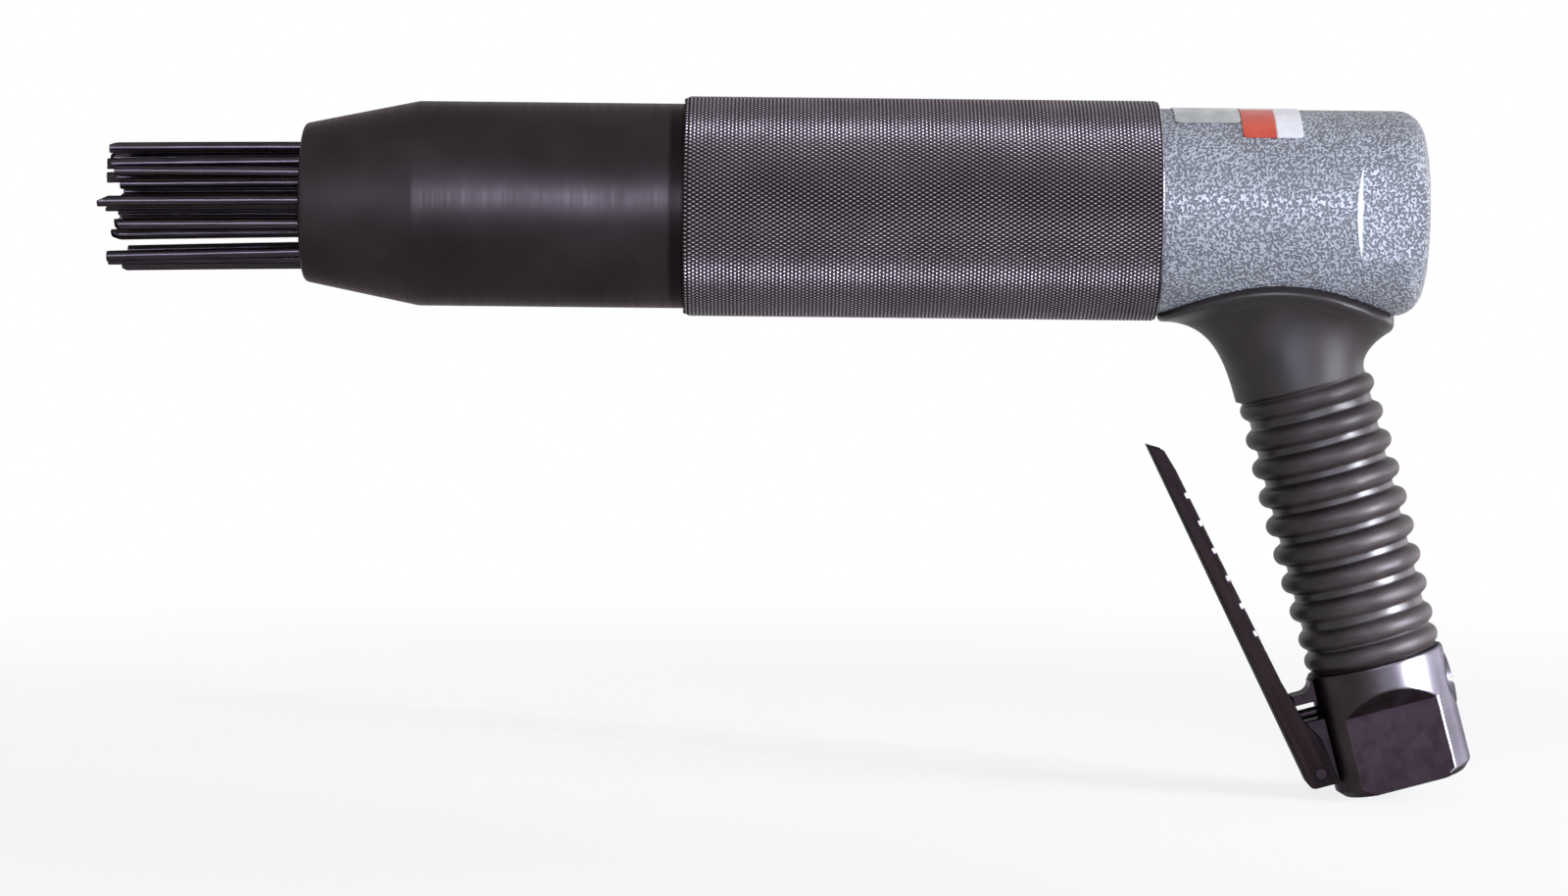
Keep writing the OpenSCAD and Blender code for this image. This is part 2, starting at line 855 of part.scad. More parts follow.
// Percussion unit
module cylinder_tube() {
    span = block_at - cylinder_at;
    color("silver")
        on_barrel()
            difference() {
                union() {
                    rod(cylinder_r, cylinder_at, block_at);
                    rod(spigot_r, cylinder_at, cylinder_at + cylinder_flange_len);
                    rod(housing_bore_r - seat_gap, block_at - cylinder_flange_len, block_at);
                }
                rod(cylinder_bore_r, cylinder_at - overrun, block_at + overrun);
                rod(
                    cylinder_bore_r + bush_flange, cylinder_at - overrun,
                    cylinder_at + bush_flange_len
                );
                for (k = [0 : exhaust_count - 1])
                    rotate(360 * k / exhaust_count)
                        translate([0, 0, cylinder_at + exhaust_at_share * span])
                            rotate([0, 90, 0])
                                rod(exhaust_r, 0, cylinder_r + overrun);
            }
}

module piston() {
    color("silver")
        on_barrel()
            difference() {
                rod(piston_r, piston_at, piston_at + piston_len);
                for (end = [1, -1])
                    let (at = piston_at + piston_len / 2 + end * piston_len / 4)
                        pipe(piston_r + overrun, piston_r - piston_groove, at, at + piston_groove_len);
            }
}

module valve_block() {
    recess = valve_disc_len + valve_disc_lift + 2 * seat_gap;
    color("silver")
        on_barrel()
            difference() {
                rod(housing_bore_r - seat_gap, block_at, cover_at);
                rod(port_r, block_at - overrun, cover_at);
                rod(valve_disc_r + free_gap, cover_at - recess, cover_at + overrun);
                outer_groove(housing_bore_r - seat_gap, (block_at + cover_at) / 2);
            }
}

module valve_disc() {
    from = cover_at - valve_disc_len - valve_disc_lift - seat_gap;
    color("silver")
        on_barrel() rod(valve_disc_r, from, from + valve_disc_len);
}

module valve_cover() {
    color("silver")
        on_barrel()
            difference() {
                rod(housing_bore_r - seat_gap, cover_at, chamber_at);
                for (k = [0 : cover_port_count - 1])
                    rotate(360 * k / cover_port_count)
                        translate([cover_port_ring_r, 0, 0])
                            rod(cover_port_r, cover_at - overrun, chamber_at + overrun);
            }
}

module cylinder_seal() {
    color("black")
        on_barrel() outer_seal(housing_bore_r - seat_gap, (block_at + cover_at) / 2);
}

module sleeve_seal() {
    color("black")
        on_barrel() outer_seal(spigot_r, housing_at - spigot_len / 4);
}

module anvil() {
    color("silver")
        on_barrel()
            difference() {
                union() {
                    rod(tube_bore_r - free_gap, anvil_at, anvil_end_at);
                    rod(anvil_stem_r, anvil_at, anvil_tip_at);
                }
                outer_groove(anvil_stem_r, cylinder_at + 2 * bush_len / 3);
            }
}

module anvil_seal() {
    color("black")
        on_barrel() outer_seal(anvil_stem_r, cylinder_at + 2 * bush_len / 3);
}

module anvil_bush() {
    color("goldenrod")
        on_barrel()
            difference() {
                union() {
                    rod(cylinder_bore_r - seat_gap, cylinder_at, cylinder_at + bush_len);
                    rod(
                        cylinder_bore_r + bush_flange - seat_gap, cylinder_at,
                        cylinder_at + bush_flange_len
                    );
                }
                rod(anvil_stem_r + slide_gap, cylinder_at - overrun, cylinder_at + bush_len + overrun);
            }
}

// Needles and their holder
function needle_place(i) =
    i == 0 ? [0, 0, 0]
    : i <= inner_needles
        ? let (a = inner_ring_turn + 360 * i / inner_needles) inner_ring_r * [cos(a), sin(a), 0]
        : let (a = outer_ring_turn + 360 * (i - inner_needles) / outer_needles)
            outer_ring_r * [cos(a), sin(a), 0];

module needle_holder() {
    color("dimgray")
        on_barrel()
            difference() {
                rod(tube_bore_r - slide_gap, holder_at, holder_end_at);
                for (i = [0 : needle_count - 1])
                    translate(needle_place(i)) {
                        rod(needle_r + needle_fit, holder_at - overrun, holder_end_at + overrun);
                        rod(
                            needle_head_r + needle_fit, holder_end_at - needle_head_len - seat_gap,
                            holder_end_at + overrun
                        );
                    }
            }
}

module needle(i) {
    tip = -needle_out + needle_wear * (1 - cos(wear_step * (i - longest_needle))) / 2;
    side = 4 * needle_r;
    color("darkslategray")
        on_barrel()
            translate(needle_place(i)) {
                difference() {
                    rod(needle_r, tip, holder_end_at - needle_head_len / 2);
                    translate([0, 0, tip])
                        rotate([0, needle_bevel, bevel_step * i])
                            translate([-side / 2, -side / 2, -side])
                                cube([side, side, side]);
                }
                rod(needle_head_r, holder_end_at - needle_head_len, holder_end_at);
            }
}

module return_spring() {
    color("silver")
        on_barrel()
            translate([0, 0, nose_bore_len])
                coil_spring(
                    return_turns, holder_at - nose_bore_len, return_wire, (bundle_r + tube_bore_r) / 2
                );
}

// Blank plate and blank label, bent to the top of the housing
module bent_sheet(from, len, half_angle) {
    on_barrel()
        rotate(180 - half_angle)
            translate([0, 0, from])
                rotate_extrude(angle = 2 * half_angle)
                    translate([barrel_r + seat_gap, 0])
                        square([label_t, len]);
}

module rating_plate() {
    color("lightgray")
        bent_sheet(housing_at + plate_from, plate_len, plate_half_angle);
}

module colour_label() {
    color("firebrick")
        bent_sheet(housing_at + plate_from + plate_len + free_gap, label_len, label_half_angle);
}

housing();
lock_sleeve();
front_tube();
grip_sleeve();
inlet_body();
throttle_lever();
lever_pin();
valve_plug();
plug_seal();
rating_plate();
colour_label();
throttle_valve();
valve_washer();
valve_seat();
valve_spring();
stem_seal();
inlet_strainer();
spigot_seal();
cylinder_tube();  // cylinder
piston();
valve_block();
valve_disc();
valve_cover();
cylinder_seal();
anvil();
anvil_bush();
anvil_seal();
needle_holder();
return_spring();
sleeve_seal();
for (i = [0 : needle_count - 1])
    needle(i);
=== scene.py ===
"""Looks of an air-driven needle scaler: knurl, rubber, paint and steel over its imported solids."""
import json
import math

import bmesh
import bpy
import numpy as np
from mathutils import Matrix, Vector


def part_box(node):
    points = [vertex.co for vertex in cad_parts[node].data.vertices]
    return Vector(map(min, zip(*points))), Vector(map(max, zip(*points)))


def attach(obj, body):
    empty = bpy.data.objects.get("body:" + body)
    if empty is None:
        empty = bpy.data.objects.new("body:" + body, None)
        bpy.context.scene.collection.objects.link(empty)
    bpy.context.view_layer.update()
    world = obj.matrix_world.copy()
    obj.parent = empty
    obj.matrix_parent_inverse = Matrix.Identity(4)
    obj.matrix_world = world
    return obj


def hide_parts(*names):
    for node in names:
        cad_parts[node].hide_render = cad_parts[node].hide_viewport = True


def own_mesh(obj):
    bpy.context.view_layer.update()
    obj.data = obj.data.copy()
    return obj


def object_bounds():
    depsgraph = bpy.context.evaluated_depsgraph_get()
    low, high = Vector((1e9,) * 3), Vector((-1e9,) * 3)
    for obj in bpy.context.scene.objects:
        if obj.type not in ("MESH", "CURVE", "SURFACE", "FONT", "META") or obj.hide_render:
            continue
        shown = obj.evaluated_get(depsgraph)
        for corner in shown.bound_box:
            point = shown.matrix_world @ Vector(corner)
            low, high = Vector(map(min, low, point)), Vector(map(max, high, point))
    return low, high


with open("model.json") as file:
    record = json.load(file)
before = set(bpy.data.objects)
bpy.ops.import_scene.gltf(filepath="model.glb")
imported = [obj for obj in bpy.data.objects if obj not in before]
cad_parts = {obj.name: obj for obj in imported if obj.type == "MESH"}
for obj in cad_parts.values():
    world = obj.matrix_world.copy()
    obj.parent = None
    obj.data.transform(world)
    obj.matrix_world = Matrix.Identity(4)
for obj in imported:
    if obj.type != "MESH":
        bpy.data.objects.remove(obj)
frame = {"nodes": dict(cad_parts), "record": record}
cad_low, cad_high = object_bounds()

MM = 0.001
scene = bpy.context.scene
scene.view_settings.view_transform = "Standard"

# Frames of the object, the same as in the part's source
TILT, HANDLE_LEN = math.radians(15.2), 164.2
LEVER_LEAN, PIN_REAR, PIN_UP = math.radians(10.9), -22.7, 8.7
NOSE_X, AXIS_Z = -308.651, 158.456
ROW = Matrix.Identity(4)
BARREL = Matrix.Translation((NOSE_X * MM, 0, AXIS_Z * MM)) @ Matrix.Rotation(math.pi / 2, 4, "Y")
HANDLE = Matrix.Rotation(-TILT, 4, "Y")
PIVOT = HANDLE @ Vector((PIN_REAR * MM, 0, PIN_UP * MM))
UP = np.array((-math.sin(TILT), 0, math.cos(TILT)))
REAR = np.array((math.cos(TILT), 0, math.sin(TILT)))
FORWARD = Vector((-1, 0, 0))

# Sizes in millimetres, the same as in the part's source
BARREL_R = 28.4
TUBE_BORE_R, TUBE_SEAT_END = 22.5, 128.2
NOSE_BORE_R, NOSE_R, NOSE_TAPER, NOSE_BORE_LEN = 18.4, 21.9, 32.0, 34.0
SLEEVE_R, SLEEVE_FROM, SLEEVE_TO, SLEEVE_EDGE = 30.6, 105.8, 237.1, 1.9
SLEEVE_BORE_R, SLEEVE_STEP = 26.65, 134.0
INLET_LEN, INLET_R = 35.5, 19.3
CORE_R, GRIP_R, NECK_R, NECK_LEAD = 13.5, 17.2, 18.4, 1.2
RIBS, RIB_PITCH, RIB_FIRST, RIB_R, RIB_BULGE = 9, 8.26, 9.6, 2.9, 1.0
COLLAR_R, COLLAR_UP, NECK_UP = 2.9, 3.4, 3.6
SADDLE_FRONT, SADDLE_REAR, SADDLE_SIDE = 28.2, 37.7, 20.0
SADDLE_LIP, LIP_LEAD, LIP_ROUND = 3.1, 0.8, 1.3
FLARE_PULL, FLARE_LEAD, FLARE_RISE = 9.2, 4.9, 0.6
NEEDLES, NEEDLE_R, HEAD_R, HEAD_LEN, HOLDER_LEN = 23, 1.5, 2.4, 2.4, 12.5
SEAT_GAP = 0.05

# Gap of the saddle to the housing, and how far the knurl sinks into its core, in millimetres
SNUG = 0.02

# Camera at the photograph's angle: level with the barrel, a little above the grip, a slight roll
ROLL, PITCH = math.radians(0.6), math.radians(3.01)
AIM, DISTANCE = Vector((-0.17472, 0, 0.09141)), 1.2935
camera = bpy.data.objects.new("camera", bpy.data.cameras.new("camera"))
scene.collection.objects.link(camera)
scene.camera = camera
camera.data.sensor_width = 36.0
camera.data.lens = 106.5
camera.data.clip_start, camera.data.clip_end = 0.05, 60.0
back = Vector((0, -math.cos(PITCH), math.sin(PITCH)))
upright = Vector((0, math.sin(PITCH), math.cos(PITCH)))
right = math.cos(ROLL) * Vector((1, 0, 0)) + math.sin(ROLL) * upright
turned = Matrix((right, back.cross(right), back)).transposed()
camera.matrix_world = Matrix.Translation(AIM + DISTANCE * back) @ turned.to_4x4()

# Sockets of a colour mix, whose names it shares with the other kinds of mix
BY, FIRST, SECOND, MIXED = 0, 6, 7, 2


def linear(code):
    """Linear colour of an sRGB hex value."""
    parts = [int(code[i:i + 2], 16) / 255 for i in (1, 3, 5)]
    parts = [c / 12.92 if c <= 0.04045 else ((c + 0.055) / 1.055) ** 2.4 for c in parts]
    return (*parts, 1.0)


def add(tree, kind, inputs=None, stops=(), **settings):
    """Adds a node with its settings and the stops of its ramp, and fills or links its inputs."""
    node = tree.nodes.new(kind)
    for name, value in settings.items():
        setattr(node, name, value)
    for k, (place, tone) in enumerate(stops):
        point = node.color_ramp.elements[k] if k < 2 else node.color_ramp.elements.new(place)
        point.position = place
        point.color = linear(tone) if isinstance(tone, str) else (tone, tone, tone, 1.0)
    for key, value in (inputs or {}).items():
        if isinstance(value, bpy.types.Node):
            value = value.outputs[0]
        if isinstance(value, bpy.types.NodeSocket):
            tree.links.new(value, node.inputs[key])
        else:
            node.inputs[key].default_value = value
    return node


def skin(name):
    """New material with an empty tree; gives it, its tree and the object's own coordinates."""
    made = bpy.data.materials.new(name)
    made.use_nodes = True
    made.node_tree.nodes.clear()
    return made, made.node_tree, add(made.node_tree, "ShaderNodeTexCoord").outputs["Object"]


def hammertone_enamel():
    """Silver-grey hammertone paint: light blobs under a millimetre wide on a duller ground."""
    made, tree, place = skin("hammertone_enamel")
    wander = add(tree, "ShaderNodeTexNoise", {
        "Vector": place, "Scale": 1 / (0.75 * MM), "Detail": 0.0, "Distortion": 0.3})
    dull = add(tree, "ShaderNodeTexNoise", {
        "Vector": place, "Scale": 1 / (16 * MM), "Detail": 3.0})
    tone = add(tree, "ShaderNodeValToRGB", {"Fac": wander}, [
        (0.4, "#6c6d71"), (0.5, "#85888d"), (0.6, "#a5a8ad")])
    grime = add(tree, "ShaderNodeValToRGB", {"Fac": dull}, [(0.35, "#cdcac8"), (0.65, "#ffffff")])
    colour = add(tree, "ShaderNodeMix", {BY: 0.35, FIRST: tone, SECOND: grime},
                 data_type="RGBA", blend_type="MULTIPLY")
    rough = add(tree, "ShaderNodeValToRGB", {"Fac": wander}, [(0.4, 0.56), (0.6, 0.4)])
    height = add(tree, "ShaderNodeValToRGB", {"Fac": wander}, [(0.38, 0.0), (0.62, 1.0)])
    bump = add(tree, "ShaderNodeBump", {
        "Height": height, "Strength": 1.0, "Distance": 0.26 * MM})
    shader = add(tree, "ShaderNodeBsdfPrincipled", {
        "Base Color": colour.outputs[MIXED], "Roughness": rough, "Normal": bump,
        "Metallic": 0.2, "Specular IOR Level": 0.4})
    add(tree, "ShaderNodeOutputMaterial", {"Surface": shader})
    return made


def browned_steel():
    """Turned and browned steel: cloudy brown-black oxide, turning marks, painted shade just ahead
    of the sleeve.
    """
    made, tree, place = skin("browned_steel")
    # Marks 0.7 mm wide along the tube and some 55 mm long round it
    turning = add(tree, "ShaderNodeMapping", {
        "Vector": place, "Scale": (1 / (0.7 * MM), 18.0, 18.0)})
    marks = add(tree, "ShaderNodeTexNoise", {"Vector": turning, "Scale": 1.0, "Detail": 3.0})
    cloud = add(tree, "ShaderNodeTexNoise", {
        "Vector": place, "Scale": 1 / (22 * MM), "Detail": 4.0})
    tone = add(tree, "ShaderNodeValToRGB", {"Fac": cloud}, [
        (0.3, "#292425"), (0.55, "#302b2d"), (0.75, "#373134")])
    along = add(tree, "ShaderNodeSeparateXYZ", {0: place}).outputs[0]
    # Painted shade: a darker band on the tube just ahead of the sleeve, where the sleeve shades it
    shade_from, shade_to = (NOSE_X + SLEEVE_FROM - ahead for ahead in (4.6, 3.4))
    painted_shade_band = add(tree, "ShaderNodeMapRange", {
        "Value": along, "From Min": shade_from * MM, "From Max": shade_to * MM})
    colour = add(tree, "ShaderNodeMix", {BY: painted_shade_band, FIRST: tone, SECOND: linear("#1d1819")},
                 data_type="RGBA")
    rough = add(tree, "ShaderNodeValToRGB", {"Fac": marks}, [(0.3, 0.38), (0.7, 0.46)])
    bump = add(tree, "ShaderNodeBump", {
        "Height": marks, "Strength": 0.12, "Distance": 0.06 * MM})
    shader = add(tree, "ShaderNodeBsdfPrincipled", {
        "Base Color": colour.outputs[MIXED], "Roughness": rough, "Normal": bump,
        "Metallic": 1.0, "Specular Tint": linear("#d6cfcf")})
    add(tree, "ShaderNodeOutputMaterial", {"Surface": shader})
    return made


def knurled_steel():
    """Blackened steel with a cut diamond knurl: valleys darkened as painted shade, peaks bright
    where hands wear them.
    """
    made, tree, place = skin("knurled_steel")
    peak = add(tree, "ShaderNodeAttribute", attribute_name="peak").outputs["Fac"]
    rub = add(tree, "ShaderNodeTexNoise", {
        "Vector": place, "Scale": 1 / (16 * MM), "Detail": 4.0})
    shift = add(tree, "ShaderNodeMath", {0: rub, 1: 0.14, 2: -0.07}, operation="MULTIPLY_ADD")
    # Height on the knurl with a cloudy shift: low values give the valleys' painted shade, high ones
    # the peaks' wear
    wear_and_valley_shade = add(tree, "ShaderNodeMath", {0: peak, 1: shift}, operation="ADD")
    tone = add(tree, "ShaderNodeValToRGB", {"Fac": wear_and_valley_shade}, [
        (0.1, "#181313"), (0.45, "#3a3336"), (0.8, "#878188"), (0.98, "#e6e1e8")])
    rough = add(tree, "ShaderNodeValToRGB", {"Fac": wear_and_valley_shade}, [(0.1, 0.4), (0.9, 0.31)])
    shader = add(tree, "ShaderNodeBsdfPrincipled", {
        "Base Color": tone, "Roughness": rough,
        "Metallic": 1.0, "Specular Tint": linear("#b0acb2")})
    add(tree, "ShaderNodeOutputMaterial", {"Surface": shader})
    return made


def moulded_rubber():
    """Black rubber as it left the mould: matt, with a brown-grey bloom in cloudy patches, and
    painted shade just above each rib.
    """
    made, tree, place = skin("moulded_rubber")
    crease_shade = add(tree, "ShaderNodeAttribute", attribute_name="crease_shade").outputs["Fac"]
    cloud = add(tree, "ShaderNodeTexNoise", {
        "Vector": place, "Scale": 1 / (9 * MM), "Detail": 4.0})
    grain = add(tree, "ShaderNodeTexNoise", {
        "Vector": place, "Scale": 1 / (0.7 * MM), "Detail": 2.0})
    tone = add(tree, "ShaderNodeValToRGB", {"Fac": cloud}, [(0.3, "#1c1717"), (0.7, "#272121")])
    # Painted shade: darker just above each rib, where the valley meets it
    colour = add(tree, "ShaderNodeMix", {BY: crease_shade, FIRST: tone, SECOND: linear("#0e0b0b")},
                 data_type="RGBA")
    rough = add(tree, "ShaderNodeValToRGB", {"Fac": cloud}, [(0.3, 0.42), (0.7, 0.52)])
    bump = add(tree, "ShaderNodeBump", {"Height": grain, "Strength": 0.14, "Distance": 0.1 * MM})
    shader = add(tree, "ShaderNodeBsdfPrincipled", {
        "Base Color": colour.outputs[MIXED], "Roughness": rough, "Normal": bump,
        "Specular IOR Level": 0.28})
    add(tree, "ShaderNodeOutputMaterial", {"Surface": shader})
    return made


def wiped_rubber():
    """The same rubber in the valleys between the ribs: darker and shinier, finely mottled, with
    painted shade just above each rib.
    """
    made, tree, place = skin("wiped_rubber")
    crease_shade = add(tree, "ShaderNodeAttribute", attribute_name="crease_shade").outputs["Fac"]
    mottle = add(tree, "ShaderNodeTexNoise", {
        "Vector": place, "Scale": 1 / (1.4 * MM), "Detail": 3.0})
    tone = add(tree, "ShaderNodeValToRGB", {"Fac": mottle}, [(0.3, "#151010"), (0.7, "#211a1b")])
    # Painted shade: darker just above each rib, where the valley meets it
    colour = add(tree, "ShaderNodeMix", {BY: crease_shade, FIRST: tone, SECOND: linear("#0e0b0b")},
                 data_type="RGBA")
    rough = add(tree, "ShaderNodeValToRGB", {"Fac": mottle}, [(0.3, 0.36), (0.7, 0.42)])
    shader = add(tree, "ShaderNodeBsdfPrincipled", {
        "Base Color": colour.outputs[MIXED], "Roughness": rough, "Specular IOR Level": 0.4})
    add(tree, "ShaderNodeOutputMaterial", {"Surface": shader})
    return made


def blued_steel():
    """Machined, blued steel: satin black oxide, cutter lines, and a lighter rear side that is
    painted light.
    """
    made, tree, place = skin("blued_steel")
    # Lines 0.6 mm wide up the handle and some 17 mm long round it
    lines = add(tree, "ShaderNodeMapping", {
        "Vector": place, "Scale": (60.0, 60.0, 1 / (0.6 * MM)), "Rotation": (0, -TILT, 0)})
    cutter = add(tree, "ShaderNodeTexNoise", {"Vector": lines, "Scale": 1.0, "Detail": 3.0})
    cloud = add(tree, "ShaderNodeTexNoise", {
        "Vector": place, "Scale": 1 / (11 * MM), "Detail": 4.0})
    tone = add(tree, "ShaderNodeValToRGB", {"Fac": cloud}, [(0.3, "#2b2526"), (0.7, "#3b3436")])
    # Painted light: the handle's rear side, toward the lamps, is given a lighter tone
    painted_lit_tone = add(tree, "ShaderNodeValToRGB", {"Fac": cloud}, [(0.3, "#5f5c62"), (0.7, "#757279")])
    own = add(tree, "ShaderNodeMapping", {
        "Vector": place, "Rotation": (0, -TILT, 0), "Scale": (MM, MM, MM)}, vector_type="TEXTURE")
    rear = add(tree, "ShaderNodeSeparateXYZ", {0: own}).outputs[0]
    painted_lit_share = add(tree, "ShaderNodeMapRange", {"Value": rear, "From Min": -8.0, "From Max": 13.0},
               interpolation_type="SMOOTHSTEP")
    colour = add(tree, "ShaderNodeMix", {BY: painted_lit_share, FIRST: tone, SECOND: painted_lit_tone}, data_type="RGBA")
    rough = add(tree, "ShaderNodeValToRGB", {"Fac": cutter}, [(0.3, 0.3), (0.7, 0.38)])
    bump = add(tree, "ShaderNodeBump", {
        "Height": cutter, "Strength": 0.1, "Distance": 0.05 * MM})
    shader = add(tree, "ShaderNodeBsdfPrincipled", {
        "Base Color": colour.outputs[MIXED], "Roughness": rough, "Normal": bump,
        "Metallic": 1.0, "Specular Tint": linear("#c4c0c8")})
    add(tree, "ShaderNodeOutputMaterial", {"Surface": shader})
    return made


def milled_steel():
    """Milled, phosphated steel of the wrench flats and the lug: brown-black, dry, cutter swirls."""
    made, tree, place = skin("milled_steel")
    swirl = add(tree, "ShaderNodeTexNoise", {
        "Vector": place, "Scale": 1 / (4 * MM), "Detail": 5.0, "Distortion": 0.6})
    tone = add(tree, "ShaderNodeValToRGB", {"Fac": swirl}, [(0.3, "#221b1f"), (0.7, "#2f272c")])
    rough = add(tree, "ShaderNodeValToRGB", {"Fac": swirl}, [(0.3, 0.4), (0.7, 0.52)])
    shader = add(tree, "ShaderNodeBsdfPrincipled", {
        "Base Color": tone, "Roughness": rough,
        "Metallic": 1.0, "Specular Tint": linear("#c8cac9")})
    add(tree, "ShaderNodeOutputMaterial", {"Surface": shader})
    return made


def worn_edge_steel():
    """Steel from which the dark finish has rubbed off: bare and bright, with dull specks."""
    made, tree, place = skin("worn_edge_steel")
    specks = add(tree, "ShaderNodeTexNoise", {
        "Vector": place, "Scale": 1 / (2.5 * MM), "Detail": 3.0})
    tone = add(tree, "ShaderNodeValToRGB", {"Fac": specks}, [(0.35, "#6f6b74"), (0.6, "#b4b3bc")])
    rough = add(tree, "ShaderNodeValToRGB", {"Fac": specks}, [(0.3, 0.42), (0.7, 0.28)])
    shader = add(tree, "ShaderNodeBsdfPrincipled", {
        "Base Color": tone, "Roughness": rough, "Metallic": 1.0})
    add(tree, "ShaderNodeOutputMaterial", {"Surface": shader})
    return made


def runout_highlight_paint():
    """Painted highlight where a flat of the cast housing runs out: pale, matt and scratched across.
    """
    made, tree, place = skin("runout_highlight_paint")
    # Scratches 0.3 mm wide and some 17 mm long
    across = add(tree, "ShaderNodeMapping", {
        "Vector": place, "Scale": (1 / (0.3 * MM), 60.0, 60.0)})
    scratch = add(tree, "ShaderNodeTexNoise", {"Vector": across, "Scale": 1.0, "Detail": 3.0})
    tone = add(tree, "ShaderNodeValToRGB", {"Fac": scratch}, [(0.3, "#bfc1c3"), (0.7, "#d9dbdd")])
    rough = add(tree, "ShaderNodeValToRGB", {"Fac": scratch}, [(0.3, 0.55), (0.7, 0.42)])
    shader = add(tree, "ShaderNodeBsdfPrincipled", {"Base Color": tone, "Roughness": rough})
    add(tree, "ShaderNodeOutputMaterial", {"Surface": shader})
    return made


def pressed_sheet():
    """Phosphated sheet steel: nearly black, streaked along, rubbed where the ribs touch it."""
    made, tree, place = skin("pressed_sheet")
    own = add(tree, "ShaderNodeMapping", {
        "Vector": place, "Location": PIVOT, "Rotation": (0, -TILT - LEVER_LEAN, 0),
        "Scale": (MM, MM, MM)}, vector_type="TEXTURE")
    out, _, up = add(tree, "ShaderNodeSeparateXYZ", {0: own}).outputs
    # Streaks some 0.9 mm wide and 20 mm long, in the lever's own millimetres
    along = add(tree, "ShaderNodeMapping", {"Vector": own, "Scale": (1.1, 1.1, 0.05)})
    streaks = add(tree, "ShaderNodeTexNoise", {"Vector": along, "Scale": 1.0, "Detail": 3.0})

    # Marks of the ribs on the lever's rim, in millimetres up the lever from its pin
    mark_pitch, mark_first, marks_middle, marks_half, rim_slope = 8.58, 43.5, 65.0, 26.0, 0.0197
    turn = add(tree, "ShaderNodeMath", {
        0: up, 1: 2 * math.pi / mark_pitch, 2: -2 * math.pi * mark_first / mark_pitch,
    }, operation="MULTIPLY_ADD")
    wave = add(tree, "ShaderNodeMath", {0: turn}, operation="COSINE")
    touch = add(tree, "ShaderNodeMapRange", {"Value": wave, "From Min": 0.76, "From Max": 0.92})
    rim = add(tree, "ShaderNodeMath", {0: up, 1: rim_slope, 2: out}, operation="MULTIPLY_ADD")
    near = add(tree, "ShaderNodeMapRange", {"Value": rim, "From Min": 0.45, "From Max": 0.75})
    span = add(tree, "ShaderNodeMath", {0: up, 1: marks_middle, 2: marks_half},
               operation="COMPARE")
    rubbed = add(tree, "ShaderNodeMath", {0: touch, 1: near}, operation="MULTIPLY")
    rubbed = add(tree, "ShaderNodeMath", {0: rubbed, 1: span}, operation="MULTIPLY")
    tone = add(tree, "ShaderNodeValToRGB", {"Fac": streaks}, [(0.3, "#151011"), (0.7, "#221b1b")])
    colour = add(tree, "ShaderNodeMix", {BY: rubbed, FIRST: tone, SECOND: linear("#a9a7b0")},
                 data_type="RGBA")
    rough = add(tree, "ShaderNodeValToRGB", {"Fac": streaks}, [(0.3, 0.36), (0.7, 0.5)])
    shader = add(tree, "ShaderNodeBsdfPrincipled", {
        "Base Color": colour.outputs[MIXED], "Roughness": rough,
        "Metallic": 1.0, "Specular Tint": linear("#6c6c6c")})
    add(tree, "ShaderNodeOutputMaterial", {"Surface": shader})
    return made


def needle_wire():
    """Drawn tool-steel wire, dark from heat and work, with streaks along its length."""
    made, tree, place = skin("needle_wire")
    # Streaks 0.5 mm wide and 12.5 mm long
    along = add(tree, "ShaderNodeMapping", {
        "Vector": place, "Scale": (80.0, 1 / (0.5 * MM), 1 / (0.5 * MM))})
    streaks = add(tree, "ShaderNodeTexNoise", {"Vector": along, "Scale": 1.0, "Detail": 3.0})
    tone = add(tree, "ShaderNodeValToRGB", {"Fac": streaks}, [(0.3, "#292427"), (0.7, "#3d383d")])
    rough = add(tree, "ShaderNodeValToRGB", {"Fac": streaks}, [(0.3, 0.2), (0.7, 0.32)])
    shader = add(tree, "ShaderNodeBsdfPrincipled", {
        "Base Color": tone, "Roughness": rough,
        "Metallic": 1.0, "Specular Tint": linear("#8d888d")})
    add(tree, "ShaderNodeOutputMaterial", {"Surface": shader})
    return made


def metal(name, dark, light, rough, grain_mm):
    """Plain machined metal: a fine cloudy change of tone and gloss."""
    made, tree, place = skin(name)
    grain = add(tree, "ShaderNodeTexNoise", {
        "Vector": place, "Scale": 1 / (grain_mm * MM), "Detail": 4.0})
    tone = add(tree, "ShaderNodeValToRGB", {"Fac": grain}, [(0.3, dark), (0.7, light)])
    gloss = add(tree, "ShaderNodeValToRGB", {"Fac": grain}, [(0.3, rough + 0.08), (0.7, rough)])
    shader = add(tree, "ShaderNodeBsdfPrincipled", {
        "Base Color": tone, "Roughness": gloss, "Metallic": 1.0})
    add(tree, "ShaderNodeOutputMaterial", {"Surface": shader})
    return made


def seal_rubber():
    """Nitrile rubber of the seals: smooth and black, with a thin film of oil."""
    made, tree, place = skin("seal_rubber")
    film = add(tree, "ShaderNodeTexNoise", {
        "Vector": place, "Scale": 1 / (3 * MM), "Detail": 2.0})
    tone = add(tree, "ShaderNodeValToRGB", {"Fac": film}, [(0.3, "#161414"), (0.7, "#242121")])
    rough = add(tree, "ShaderNodeValToRGB", {"Fac": film}, [(0.3, 0.3), (0.7, 0.5)])
    shader = add(tree, "ShaderNodeBsdfPrincipled", {"Base Color": tone, "Roughness": rough})
    add(tree, "ShaderNodeOutputMaterial", {"Surface": shader})
    return made


